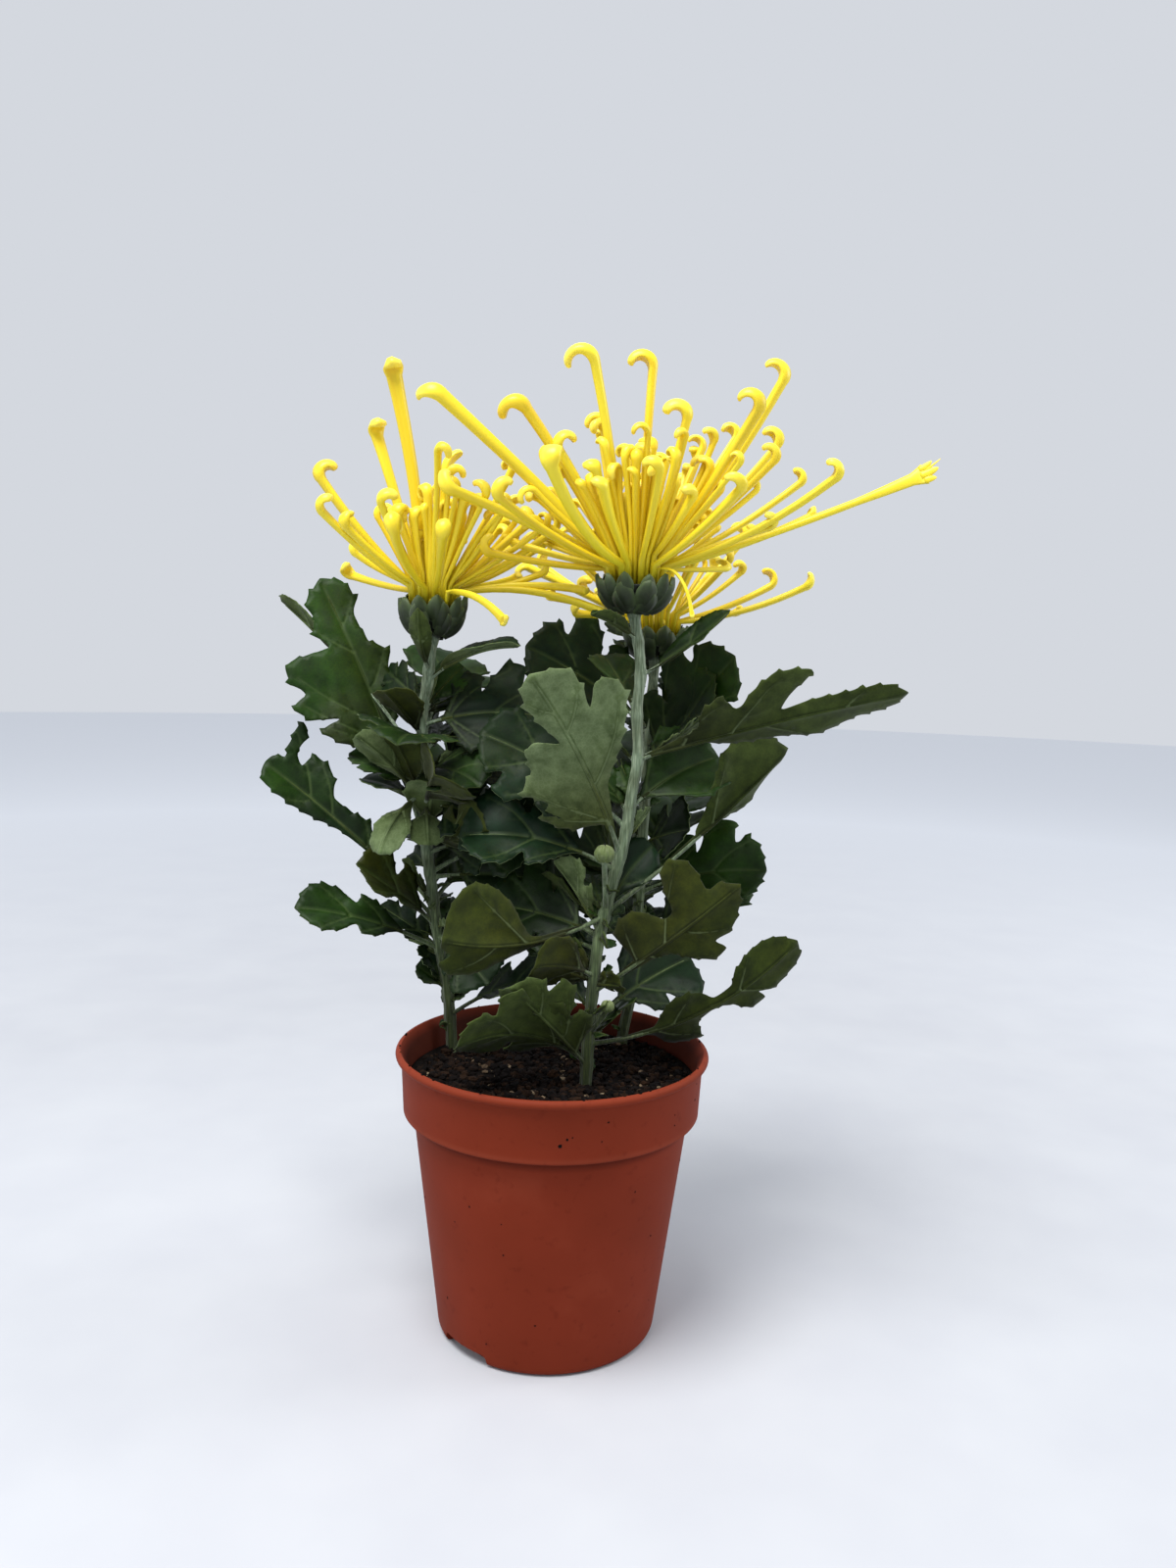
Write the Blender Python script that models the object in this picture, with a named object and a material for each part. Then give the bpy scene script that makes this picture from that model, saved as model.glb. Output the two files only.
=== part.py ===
# Potted chrysanthemum with three yellow spider blooms in a moulded nursery pot.
# Lengths in the tables are millimetres and angles are degrees. The origin is the middle of the pot's
# foot.
# Azimuth is measured in plan from +X towards +Y, and rise is measured up from level.
import math
import random

import bmesh
import bpy
from mathutils import Matrix, Vector, geometry, noise

MM = 0.001
FIT_GAP = 0.35            # clearance between pieces that touch

# Pot
POT_HEIGHT = 110.0
RIM_RADIUS = 60.0
BASE_RADIUS = 42.0
COLLAR_DROP = 23.0        # height of the straight collar band below the rim
SHOULDER_DROP = 2.2       # the ledge under the collar
COLLAR_STEP = 4.0         # how far the collar stands proud of the tapered wall
RIM_OVERHANG = 3.2        # how far the rim bead stands proud of the collar
BEAD_HEIGHT = 2.8
FOOT_ROUND = 3.0
POT_WALL = 1.6
FLOOR_THICKNESS = 2.5
POT_SIDES = 32
NOTCH_WIDTH = 23.0
NOTCH_HEIGHT = 4.6
NOTCH_DEPTH = 5.0
NOTCH_AZIMUTHS = (-136.0, 44.0)

# Growing medium
SOIL_TOP = 98.5
SOIL_ROUGHNESS = 0.9
STEM_SOCKET_DEPTH = 9.6

# Stems
STEM_SIDES = 8
STEM_RADIUS = 2.7
STEM_TOP_RADIUS = 2.3
STEM_FLARE = 0.9          # the stem widens by this much just below the bloom
HOLE_SIDES = 12

# Leaves
BLADE_THICKNESS = 0.8
PETIOLE_WIDTH = 2.4
PETIOLE_THICKNESS = 1.8

# Blooms
RECEPTACLE_RADIUS = 9.0
RECEPTACLE_HEIGHT = 7.5
RECEPTACLE_SIDES = 12
RECEPTACLE_SINK = 1.0     # the receptacle's flat underside lies this far below the florets' middle
CUP_RADIUS = 14.5
CUP_FOOT_RADIUS = 3.5
CUP_ROWS = 6
BRACTS = 9
BRACT_TIERS = 3
COLUMNS_PER_BRACT = 3
BRACT_RELIEF = 1.3
FLORET_SIDES = 3
LOWEST_ROOT_RISE = 12.0   # lowest angle at which a floret leaves the receptacle's dome
ROOT_DEPTH = 0.72         # share of the dome's radius at which a floret starts
TIP_TIGHTENING = 0.45     # share that a curl's radius loses on its way to the tip
PULL_RISE = 18.0          # a curl leans this far above level

STEMS = {
    "front": [(13, -9, 104), (14, -9, 127), (16, -8, 152), (20, -6, 172), (25, -5, 193),
              (27, -4, 209), (29, -3, 223), (28, -2, 240), (29, -1, 253), (28, 0, 264),
              (26, 0, 275), (26, 0, 276.5)],
    "left": [(-41.5, 28.5, 104), (-44, 29, 127), (-48, 27, 148), (-50, 25, 166), (-52, 23, 182),
             (-53, 20, 208), (-54, 17, 234), (-52, 15, 247), (-51, 13, 256), (-50, 12, 264),
             (-50, 12, 265.5)],
    "rear": [(29, 36, 104), (33, 40, 126), (34, 42, 159), (35, 44, 187), (36, 46, 216),
             (37, 48, 240), (38, 51, 258), (38, 51, 259.5)],
}

# Each leaf: height of its node on the stem, azimuth and rise of the line from node to tip, that line's
# length, full width, droop and swing (turn of the midrib between its two ends, down and in plan), roll
# about the midrib, fold of each half up from flat, length of the bare stalk as a share of the whole, and
# shape.
LEAVES = {
    "front": [
        (186, -133, 53, 84, 50, 20, 0, 46, 6, 0.17, "pale"),
        (222, -11, 16, 101, 40, 6, 0, -42, 8, 0.05, "long"),
        (253, -24, 36, 42, 12, -14, 0, 50, 22, 0.22, "lance"),
        (266, -136, 19, 27, 8, 24, 0, 0, 24, 0.20, "lance"),
        (203, 28, 26, 44, 36, 30, 0, 46, 12, 0.16, "spoon"),
        (134, -28, 40, 74, 44, -8, 0, -66, 10, 0.30, "broad"),
        (164, 10, 42, 94, 38, -10, 0, -52, 26, 0.48, "spoon"),
        (163, -151, -3, 66, 44, -40, 0, 84, 14, 0.26, "mitten"),
        (106, -150, 15, 56, 42, 60, 16, 46, 14, 0.24, "lobed"),
        (114, -4, 29, 88, 26, -42, 0, -66, 10, 0.24, "necked"),
        (122, 30, 24, 50, 36, 20, 0, 46, 14, 0.30, "oak"),
        (155, 160, 10, 46, 40, 26, 0, -50, 10, 0.20, "lobed"),
        (140, -133, 16, 34, 24, 26, 0, 60, 14, 0.20, "spoon"),
        (196, 172, 31, 66, 44, 26, 0, -60, 10, 0.22, "lobed"),
        (180, 178, 11, 60, 34, 40, 0, -46, 14, 0.26, "oak"),
        (238, 118, 40, 34, 22, 20, 0, 0, 16, 0.20, "oak"),
    ],
    "left": [
        (183, 157, 64, 116, 62, 10, 0, -50, 8, 0.36, "tall"),
        (211, -112, 66, 42, 24, 14, 0, 26, 12, 0.30, "spoon"),
        (200, -149, 43, 40, 14, 16, 0, 60, 30, 0.24, "spoon"),
        (152, -174, 43, 92, 40, 14, 0, -66, 12, 0.42, "fingered"),
        (140, -158, 19, 62, 24, 22, 0, -40, 20, 0.30, "oak"),
        (205, -122, -40, 34, 26, 60, 0, -20, 20, 0.20, "spoon"),
        (199, -80, 22, 44, 34, 10, 0, -50, 30, 0.20, "oak"),
        (222, -100, 6, 34, 38, 60, 0, -10, 12, 0.18, "lobed"),
        (231, -3, 5, 50, 42, 34, 0, 56, 10, 0.18, "lobed"),
        (248, -24, 20, 42, 12, 46, 0, 0, 26, 0.20, "lance"),
        (236, 40, 44, 26, 16, 20, 0, 40, 16, 0.20, "spoon"),
        (253, -98, 52, 29, 9, -60, 0, 0, 10, 0.20, "lance"),
        (172, 6, 26, 58, 36, 10, 0, 50, 14, 0.42, "oak"),
        (160, 60, 22, 48, 40, 26, 0, 40, 14, 0.26, "oak"),
        (134, 44, 30, 32, 28, 20, 0, 40, 14, 0.24, "oak"),
        (112, -28, 26, 56, 22, 26, 0, 30, 20, 0.28, "oak"),
        (226, 78, 30, 60, 42, 30, 0, 20, 14, 0.24, "lobed"),
        (190, 72, 24, 58, 42, 34, 0, 20, 14, 0.26, "lobed"),
        (122, -172, 40, 17, 12, 20, 0, -40, 14, 0.20, "spoon"),
        (205, 30, 24, 56, 44, 24, 0, 50, 12, 0.20, "oak"),
        (180, -20, 12, 48, 38, 26, 0, 60, 12, 0.20, "oak"),
    ],
    "rear": [
        (230, 188, 32, 62, 46, 20, 0, -70, 10, 0.24, "lobed"),
        (208, -34, 54, 66, 48, 16, 0, 76, 10, 0.20, "lobed"),
        (162, -14, 14, 54, 42, 30, 0, 56, 14, 0.22, "lobed"),
        (182, -52, 20, 30, 28, 20, 0, 60, 14, 0.20, "oak"),
        (164, 178, 16, 58, 46, 20, 0, -56, 14, 0.24, "lobed"),
        (196, 120, 30, 62, 44, 34, 0, 0, 14, 0.24, "lobed"),
        (172, 62, 26, 66, 44, 34, 0, 0, 14, 0.26, "lobed"),
        (222, 44, 34, 58, 42, 30, 0, 0, 14, 0.22, "lobed"),
        (138, 97, 28, 60, 40, 36, 0, 0, 14, 0.30, "oak"),
        (246, 96, 38, 46, 34, 26, 0, 0, 14, 0.22, "oak"),
        (140, 20, 26, 56, 38, 30, 0, 20, 14, 0.28, "oak"),
    ],
}

# Side shoots with a bud at the end: stem, height of the node, tip of the shoot, bud radius.
SHOOTS = [
    ("front", 165, (17, -17, 186), 3.0),
    ("front", 118, (20, -15, 129), 2.0),
]

# Each bloom: middle of its receptacle, its florets placed one by one and how many more fill it.
# A placed floret: azimuth, rise and length of the line from the receptacle to where the tip starts to
# curl, bow of the tube on the way, turn and radius of the curl, azimuth that it curls towards, half width.
BLOOMS = {
    "front": {
        "middle": (26, 0, 291),
        "filling": 30,
        "florets": [
            (-140, 72, 75, -8, 200, 5.3, 180, 2.1), (67, 82, 76, -4, 190, 4.6, 180, 2.0),
            (5, 54, 88, 12, 170, 4.8, 180, 2.0), (-30, 51, 71, 8, 200, 4.1, 175, 2.2),
            (-17, 73, 57, 0, 190, 4.1, 180, 1.8), (33, 59, 56, 0, 190, 3.2, 180, 1.6),
            (-81, 45, 46, 14, 190, 3.2, 170, 1.7), (81, 57, 41, 10, 190, 3.2, 180, 1.6),
            (-123, 28, 65, 40, 150, 3.7, 60, 2.2), (-157, 53, 52, -10, 210, 3.4, 10, 1.8),
            (135, 72, 57, 4, 200, 3.9, 185, 1.8), (-164, 52, 70, -12, 170, 5.1, 180, 2.3),
            (-160, 37, 93, -6, 130, 5.8, 180, 2.2), (-166, 21, 72, -10, 120, 5.1, 30, 2.0),
            (-110, 32, 48, 26, 120, 3.0, 180, 1.8), (-148, 21, 61, 16, 200, 3.4, 20, 1.8),
            (19, 42, 75, 10, 190, 3.9, 180, 1.8), (-10, 40, 63, 8, 190, 3.2, 180, 1.7),
            (36, 49, 72, 0, 200, 3.2, 180, 1.6), (9, 30, 71, 14, 170, 3.0, 180, 1.6),
            (-13, 26, 78, 22, 180, 3.4, 180, 1.8), (-3, 20, 104, 6, 30, 12.0, 180, 2.0),
            (21, 19, 77, 10, 100, 3.2, 180, 1.6), (-52, 27, 57, 18, 190, 3.4, 180, 1.7),
            (-176, 6, 53, 10, 180, 3.4, 0, 1.7), (152, 24, 58, 14, 180, 3.4, 0, 1.7),
            (-46, -12, 36, -60, 40, 4.0, 270, 1.4),
        ],
    },
    "left": {
        "middle": (-50, 12, 281),
        "filling": 24,
        "florets": [
            (-166, 79, 81, 6, 90, 3.0, 0, 2.1), (156, 67, 65, 4, 160, 3.4, 0, 2.0),
            (180, 45, 59, 10, 190, 3.4, 10, 1.8), (-157, 34, 50, 14, 170, 3.4, 0, 1.7),
            (-121, 45, 43, 20, 190, 3.0, 0, 1.7), (-104, 26, 44, 30, 330, 3.4, 90, 1.6),
            (143, 79, 34, 4, 200, 3.0, 0, 1.6), (-2, 4, 57, -20, 30, 6.0, 180, 2.0),
            (-5, -5, 68, -36, 60, 4.0, 180, 1.7), (-47, -12, 42, -40, 40, 4.0, 180, 1.6),
            (-6, 38, 44, 0, 150, 3.4, 180, 1.8), (-35, 43, 46, -20, 120, 3.4, 180, 1.4),
            (-80, 24, 45, 26, 200, 3.2, 90, 1.6), (82, 69, 51, -8, 70, 12.0, 0, 1.6),
        ],
    },
    "rear": {
        "middle": (38, 51, 273),
        "filling": 24,
        "florets": [
            (-6, 16, 62, 22, 110, 4.6, 180, 1.7), (12, 20, 52, 16, 190, 3.9, 180, 1.7),
            (-160, 6, 34, -10, 180, 3.0, 0, 1.6), (180, 22, 57, -6, 120, 3.4, 180, 1.8),
            (24, 43, 55, 8, 190, 3.4, 180, 1.7), (60, 24, 64, 12, 180, 3.7, 240, 1.7),
            (100, 30, 66, 12, 180, 3.7, 280, 1.7), (140, 22, 66, 12, 180, 3.7, 320, 1.7),
            (120, 52, 68, 6, 190, 3.9, 300, 1.8), (70, 58, 70, 6, 190, 3.9, 250, 1.8),
        ],
    },
}
FLORET_SEEDS = {"front": 12, "left": 23, "rear": 37}

# Half outlines of the blade: (share of the blade's length, share of the half width), stalk end first.
# A leaf whose two sides differ has one outline for each, the left side of the upper face first.
BLADE_SHAPES = {
    "lobed": [[(0.00, 0.07), (0.08, 0.34), (0.13, 0.66), (0.25, 0.84), (0.35, 0.76), (0.36, 0.42),
               (0.46, 0.76),
               (0.58, 1.00), (0.70, 0.92), (0.71, 0.54), (0.82, 0.64), (0.92, 0.46), (1.00, 0.00)]],
    "oak": [[(0.00, 0.07), (0.14, 0.38), (0.26, 0.74), (0.40, 0.84), (0.46, 0.50), (0.60, 0.90),
             (0.77, 0.98), (0.91, 0.64), (1.00, 0.00)]],
    "spoon": [[(0.00, 0.07), (0.20, 0.36), (0.40, 0.78), (0.56, 0.98), (0.66, 0.90), (0.82, 0.88),
               (0.94, 0.54), (1.00, 0.00)]],
    "lance": [[(0.00, 0.20), (0.30, 0.72), (0.60, 1.00), (0.84, 0.70), (1.00, 0.00)]],
    "pale": [[(0.00, 0.07), (0.12, 0.14), (0.23, 0.22), (0.35, 0.50), (0.50, 0.80), (0.62, 1.00),
              (0.72, 0.94),
              (0.76, 0.70), (0.66, 0.46), (0.79, 0.50), (0.90, 0.46), (1.00, 0.00)],
             [(0.00, 0.07), (0.02, 0.32), (0.05, 0.64), (0.14, 0.92), (0.24, 0.72), (0.34, 1.00),
              (0.44, 0.74),
              (0.57, 0.68), (0.62, 0.48), (0.55, 0.17), (0.68, 0.24), (0.85, 0.30), (0.95, 0.20),
              (1.00, 0.00)]],
    "long": [[(0.00, 0.06), (0.20, 0.12), (0.30, 0.34), (0.45, 0.56), (0.60, 0.66), (0.74, 0.60),
              (0.86, 0.46),
              (0.95, 0.28), (1.00, 0.00)],
             [(0.00, 0.06), (0.12, 0.14), (0.21, 0.32), (0.25, 0.70), (0.33, 0.92), (0.37, 0.56),
              (0.45, 0.84),
              (0.56, 1.08), (0.67, 1.00), (0.53, 0.24), (0.68, 0.30), (0.84, 0.34), (0.94, 0.28),
              (1.00, 0.00)]],
    "tall": [[(0.00, 0.07), (0.04, 0.32), (0.10, 0.60), (0.20, 0.78), (0.23, 0.52), (0.28, 0.86),
              (0.37, 1.00),
              (0.42, 0.80), (0.52, 0.92), (0.61, 0.84), (0.62, 0.28), (0.72, 0.38), (0.80, 0.30),
              (0.90, 0.30),
              (1.00, 0.00)],
             [(0.00, 0.07), (0.10, 0.12), (0.20, 0.26), (0.28, 0.40), (0.39, 0.32), (0.50, 0.40),
              (0.58, 0.22),
              (0.74, 0.20), (0.84, 0.30), (0.94, 0.24), (1.00, 0.00)]],
    "fingered": [[(0.00, 0.08), (0.28, 0.15), (0.51, 0.34), (0.70, 0.42), (0.88, 0.42),
                  (0.97, 0.28), (1.00, 0.00)],
                 [(0.00, 0.08), (0.06, 0.40), (0.16, 0.56), (0.27, 0.42), (0.45, 0.32),
                  (0.55, 0.64), (0.66, 0.80),
                  (0.76, 0.74), (0.78, 0.44), (0.86, 0.60), (0.89, 1.06), (0.97, 1.10), (0.94, 0.62),
                  (0.91, 0.34), (0.98, 0.22), (1.00, 0.00)]],
    "broad": [[(0.00, 0.08), (0.12, 0.10), (0.25, 0.20), (0.33, 0.44), (0.46, 0.76), (0.56, 0.72),
               (0.55, 0.52),
               (0.68, 0.54), (0.80, 0.40), (0.90, 0.22), (1.00, 0.00)],
              [(0.00, 0.08), (0.01, 0.36), (0.03, 0.66), (0.13, 0.78), (0.26, 0.74), (0.40, 0.46),
               (0.49, 0.50),
               (0.55, 0.82), (0.66, 1.00), (0.79, 1.00), (0.88, 0.76), (0.88, 0.34), (1.00, 0.00)]],
    "mitten": [[(0.00, 0.07), (0.27, 0.10), (0.36, 0.38), (0.44, 0.70), (0.60, 0.94), (0.80, 1.00),
                (0.93, 0.84),
                (0.99, 0.50), (1.00, 0.00)],
               [(0.00, 0.07), (0.27, 0.10), (0.48, 0.28), (0.69, 0.52), (0.84, 0.58), (0.93, 0.44),
                (0.88, 0.22),
                (0.97, 0.15), (1.00, 0.00)]],
    "necked": [[(0.00, 0.10), (0.05, 0.24), (0.10, 0.70), (0.18, 0.92), (0.27, 0.95), (0.30, 0.36),
                (0.43, 0.18),
                (0.51, 0.40), (0.58, 0.88), (0.66, 0.82), (0.66, 0.44), (0.74, 0.72), (0.86, 0.64),
                (0.95, 0.46),
                (1.00, 0.00)],
               [(0.00, 0.10), (0.07, 0.14), (0.14, 0.52), (0.22, 0.78), (0.33, 0.80), (0.40, 0.46),
                (0.44, 0.18),
                (0.56, 0.26), (0.62, 0.58), (0.73, 0.76), (0.86, 0.72), (0.95, 0.46), (1.00, 0.00)]],
}


def clear_scene():
    for item in list(bpy.data.objects):
        bpy.data.objects.remove(item, do_unlink=True)


def linear(channel):
    return channel / 12.92 if channel <= 0.04045 else ((channel + 0.055) / 1.055) ** 2.4


def make_material(name, hex_colour, roughness):
    red, green, blue = (linear(int(hex_colour[i:i + 2], 16) / 255) for i in (0, 2, 4))
    material = bpy.data.materials.new(name)
    material.use_nodes = True
    shader = material.node_tree.nodes["Principled BSDF"]
    shader.inputs["Base Color"].default_value = (red, green, blue, 1.0)
    shader.inputs["Roughness"].default_value = roughness
    shader.inputs["Metallic"].default_value = 0.0
    return material


def object_from_bmesh(name, shape, material=None):
    """Scale a shape made in millimetres to metres and link it as an object."""
    bmesh.ops.scale(shape, vec=(MM, MM, MM), verts=shape.verts)
    bmesh.ops.recalc_face_normals(shape, faces=shape.faces)
    mesh = bpy.data.meshes.new(name)
    shape.to_mesh(mesh)
    shape.free()
    item = bpy.data.objects.new(name, mesh)
    bpy.context.scene.collection.objects.link(item)
    if material:
        mesh.materials.append(material)
    return item


def heading(azimuth, rise):
    a, e = math.radians(azimuth), math.radians(rise)
    return Vector((math.cos(e) * math.cos(a), math.cos(e) * math.sin(a), math.sin(e)))


def point_at_height(path, height):
    for low, high in zip(path, path[1:]):
        if low.z <= height <= high.z:
            return low.lerp(high, (height - low.z) / (high.z - low.z))
    return path[-1].copy()


def add_ring(shape, centre, across, up, radius, sides):
    ring = []
    for k in range(sides):
        angle = 2 * math.pi * k / sides
        offset = across * math.cos(angle) + up * math.sin(angle)
        ring.append(shape.verts.new(centre + offset * radius))
    return ring


def add_tube(shape, path, radii, sides, reference=Vector((0, 0, 1))):
    """A closed tube along a path. Its frame turns with the path and doesn't twist."""
    rings = []
    up = reference
    for i, centre in enumerate(path):
        tangent = (path[min(i + 1, len(path) - 1)] - path[max(i - 1, 0)]).normalized()
        across = tangent.cross(up)
        if across.length < 0.05:
            across = tangent.orthogonal()
        across.normalize()
        up = across.cross(tangent).normalized()
        rings.append(add_ring(shape, centre, across, up, radii[i], sides))
    for low, high in zip(rings, rings[1:]):
        for k in range(sides):
            n = (k + 1) % sides
            shape.faces.new((low[k], low[n], high[n], high[k]))
    shape.faces.new(list(reversed(rings[0])))
    shape.faces.new(rings[-1])


def turned(profile, sides):
    """A closed solid of revolution. The profile runs from the axis or round a closed section."""
    shape = bmesh.new()
    rings = []
    for radius, height in profile:
        if radius < 1e-6:
            rings.append([shape.verts.new((0, 0, height))])
        else:
            rings.append([shape.verts.new((radius * math.cos(2 * math.pi * k / sides),
                                           radius * math.sin(2 * math.pi * k / sides), height))
                          for k in range(sides)])
    for low, high in zip(rings, rings[1:]):
        for k in range(sides):
            n = (k + 1) % sides
            corners = [low[k % len(low)], low[n % len(low)], high[n % len(high)], high[k % len(high)]]
            unique = list(dict.fromkeys(corners))
            if len(unique) > 2:
                shape.faces.new(unique)
    return shape


def keep_outer_skin(mesh):
    """Drop loose scraps and sealed hollows: only the body with the widest reach stays."""
    shape = bmesh.new()
    shape.from_mesh(mesh)
    shape.verts.ensure_lookup_table()
    left = set(shape.verts)
    bodies = []
    while left:
        stack = [left.pop()]
        body = set(stack)
        while stack:
            for edge in stack.pop().link_edges:
                for vert in edge.verts:
                    if vert in left:
                        left.discard(vert)
                        body.add(vert)
                        stack.append(vert)
        bodies.append(body)
    bodies.sort(key=lambda body: max(v.co.z for v in body) - min(v.co.z for v in body))
    extra = [vert for body in bodies[:-1] for vert in body]
    bmesh.ops.delete(shape, geom=extra, context="VERTS")
    shape.to_mesh(mesh)
    shape.free()


def fuse(name, body, repeats, material, solver="EXACT"):
    """Join the repeats to the body they grow from, as one closed solid."""
    group = bpy.data.collections.new(name + "_repeats")
    bpy.context.scene.collection.children.link(group)
    for piece in repeats:
        group.objects.link(piece)
    joint = body.modifiers.new("join", "BOOLEAN")
    joint.operation = "UNION"
    joint.operand_type = "COLLECTION"
    joint.collection = group
    joint.solver = solver
    graph = bpy.context.evaluated_depsgraph_get()
    mesh = bpy.data.meshes.new_from_object(body.evaluated_get(graph))
    mesh.name = name
    body.modifiers.clear()
    for piece in repeats:
        bpy.data.objects.remove(piece, do_unlink=True)
    bpy.data.collections.remove(group)
    keep_outer_skin(mesh)
    mesh.materials.clear()
    mesh.materials.append(material)
    body.data = mesh
    body.name = name
    return body


def wall_radius(height):
    """Outer radius of the tapered wall below the collar."""
    shoulder_foot = POT_HEIGHT - COLLAR_DROP - SHOULDER_DROP
    top = RIM_RADIUS - RIM_OVERHANG - COLLAR_STEP
    return BASE_RADIUS + (top - BASE_RADIUS) * height / shoulder_foot


def pot_profile():
    """Section of the pot's wall and floor: outside going up, over the rim bead, inside going down."""
    collar_foot = POT_HEIGHT - COLLAR_DROP
    shoulder_foot = collar_foot - SHOULDER_DROP
    collar = RIM_RADIUS - RIM_OVERHANG
    outside = [(0, 0), (BASE_RADIUS - FOOT_ROUND, 0), (BASE_RADIUS - 0.3 * FOOT_ROUND, 0.3 * FOOT_ROUND),
               (wall_radius(FOOT_ROUND), FOOT_ROUND), (wall_radius(shoulder_foot), shoulder_foot),
               (collar - COLLAR_STEP / 2, collar_foot - 0.69 * SHOULDER_DROP),
               (collar - 0.1 * COLLAR_STEP, collar_foot - 0.27 * SHOULDER_DROP), (collar, collar_foot),
               (collar + 1.0, POT_HEIGHT - 1.57 * BEAD_HEIGHT),
               (RIM_RADIUS - 0.5, POT_HEIGHT - 1.04 * BEAD_HEIGHT),
               (RIM_RADIUS, POT_HEIGHT - 0.57 * BEAD_HEIGHT),
               (RIM_RADIUS - 0.6, POT_HEIGHT - 0.14 * BEAD_HEIGHT),
               (RIM_RADIUS - 0.57 * BEAD_HEIGHT, POT_HEIGHT)]
    inside = [(RIM_RADIUS - 1.04 * BEAD_HEIGHT, POT_HEIGHT - 0.25 * BEAD_HEIGHT),
              (collar + 0.6 - POT_WALL, POT_HEIGHT - 1.21 * BEAD_HEIGHT),
              (collar - POT_WALL, collar_foot + POT_WALL),
              (collar - COLLAR_STEP / 2 - POT_WALL, collar_foot - 0.69 * SHOULDER_DROP + POT_WALL),
              (wall_radius(shoulder_foot) - POT_WALL, shoulder_foot - 1.0 + POT_WALL),
              (wall_radius(FLOOR_THICKNESS) - 1.5 * POT_WALL, FLOOR_THICKNESS), (0, FLOOR_THICKNESS)]
    return outside, inside


def make_pot(material):
    outside, inside = pot_profile()
    pot = object_from_bmesh("pot", turned(outside + inside, POT_SIDES), material)
    for i, azimuth in enumerate(NOTCH_AZIMUTHS):
        shape = bmesh.new()
        bmesh.ops.create_cube(shape, size=1.0)
        bmesh.ops.scale(shape, vec=(2 * NOTCH_DEPTH, NOTCH_WIDTH, 2 * NOTCH_HEIGHT), verts=shape.verts)
        corners = [e for e in shape.edges if abs(e.verts[0].co.x - e.verts[1].co.x) > NOTCH_DEPTH
                   and e.verts[0].co.z > 0]
        bmesh.ops.bevel(shape, geom=corners, offset=2.0, segments=2, affect="EDGES", profile=0.5)
        bmesh.ops.translate(shape, vec=(BASE_RADIUS, 0, 0), verts=shape.verts)
        bmesh.ops.rotate(shape, cent=(0, 0, 0), matrix=Matrix.Rotation(math.radians(azimuth), 3, "Z"),
                         verts=shape.verts)
        cutter = object_from_bmesh("notch_cutter_%d" % i, shape)
        cutter.hide_render = True
        cutter.display_type = "WIRE"
        cut = pot.modifiers.new("notch_%d" % i, "BOOLEAN")
        cut.operation = "DIFFERENCE"
        cut.solver = "EXACT"
        cut.object = cutter
    pot.data.shade_smooth()
    pot.data.set_sharp_from_angle(angle=math.radians(35))
    return pot


def soil_bump(x, y):
    return SOIL_ROUGHNESS * noise.noise(Vector((x * 0.09, y * 0.09, 3.7)))


def make_soil(stem_feet, material):
    outside, inside = pot_profile()
    wall = [(radius - FIT_GAP, height) for radius, height in reversed(inside[2:-1])]
    wall[0] = (wall[0][0] - 0.3, FLOOR_THICKNESS + FIT_GAP)
    top_radius = wall[-1][0] + (SOIL_TOP - wall[-1][1]) * 0.04
    profile = [(0, FLOOR_THICKNESS + FIT_GAP)] + wall + [(top_radius, SOIL_TOP)]
    profile += [(top_radius * share, SOIL_TOP) for share in (0.8, 0.5, 0.25)] + [(0, SOIL_TOP)]
    shape = turned(profile, POT_SIDES)
    for vert in shape.verts:
        inner = math.hypot(vert.co.x, vert.co.y) < top_radius * 0.9
        if inner and vert.co.z > SOIL_TOP - 1:
            vert.co.z += soil_bump(vert.co.x, vert.co.y)
    soil = object_from_bmesh("soil", shape, material)
    for name, foot in stem_feet.items():
        shape = bmesh.new()
        path = [Vector((foot[0], foot[1], z)) for z in (SOIL_TOP - STEM_SOCKET_DEPTH, SOIL_TOP + 12)]
        hole = (STEM_RADIUS + FIT_GAP) / math.cos(math.pi / HOLE_SIDES)
        add_tube(shape, path, [hole, hole], HOLE_SIDES, Vector((0, 1, 0)))
        cutter = object_from_bmesh("%s_stem_hole" % name, shape)
        cutter.hide_render = True
        cutter.display_type = "WIRE"
        cut = soil.modifiers.new("%s_hole" % name, "BOOLEAN")
        cut.operation = "DIFFERENCE"
        cut.solver = "EXACT"
        cut.object = cutter
    return soil


def stem_path(name):
    """The stem's centre line, from its foot in the soil's socket up to the bloom."""
    points = [Vector(p) for p in STEMS[name]]
    foot = Vector((points[0].x, points[0].y, SOIL_TOP - STEM_SOCKET_DEPTH + FIT_GAP))
    return [foot] + points


def make_stem(name, path):
    top = path[-1].z
    foot = path[0].z
    radii = []
    for point in path:
        share = (point.z - foot) / (top - foot)
        radii.append(STEM_RADIUS + (STEM_TOP_RADIUS - STEM_RADIUS) * share)
    radii[-1] = STEM_TOP_RADIUS + STEM_FLARE
    shape = bmesh.new()
    add_tube(shape, path, radii, STEM_SIDES, Vector((0, 1, 0)))
    return object_from_bmesh(name, shape)


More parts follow.
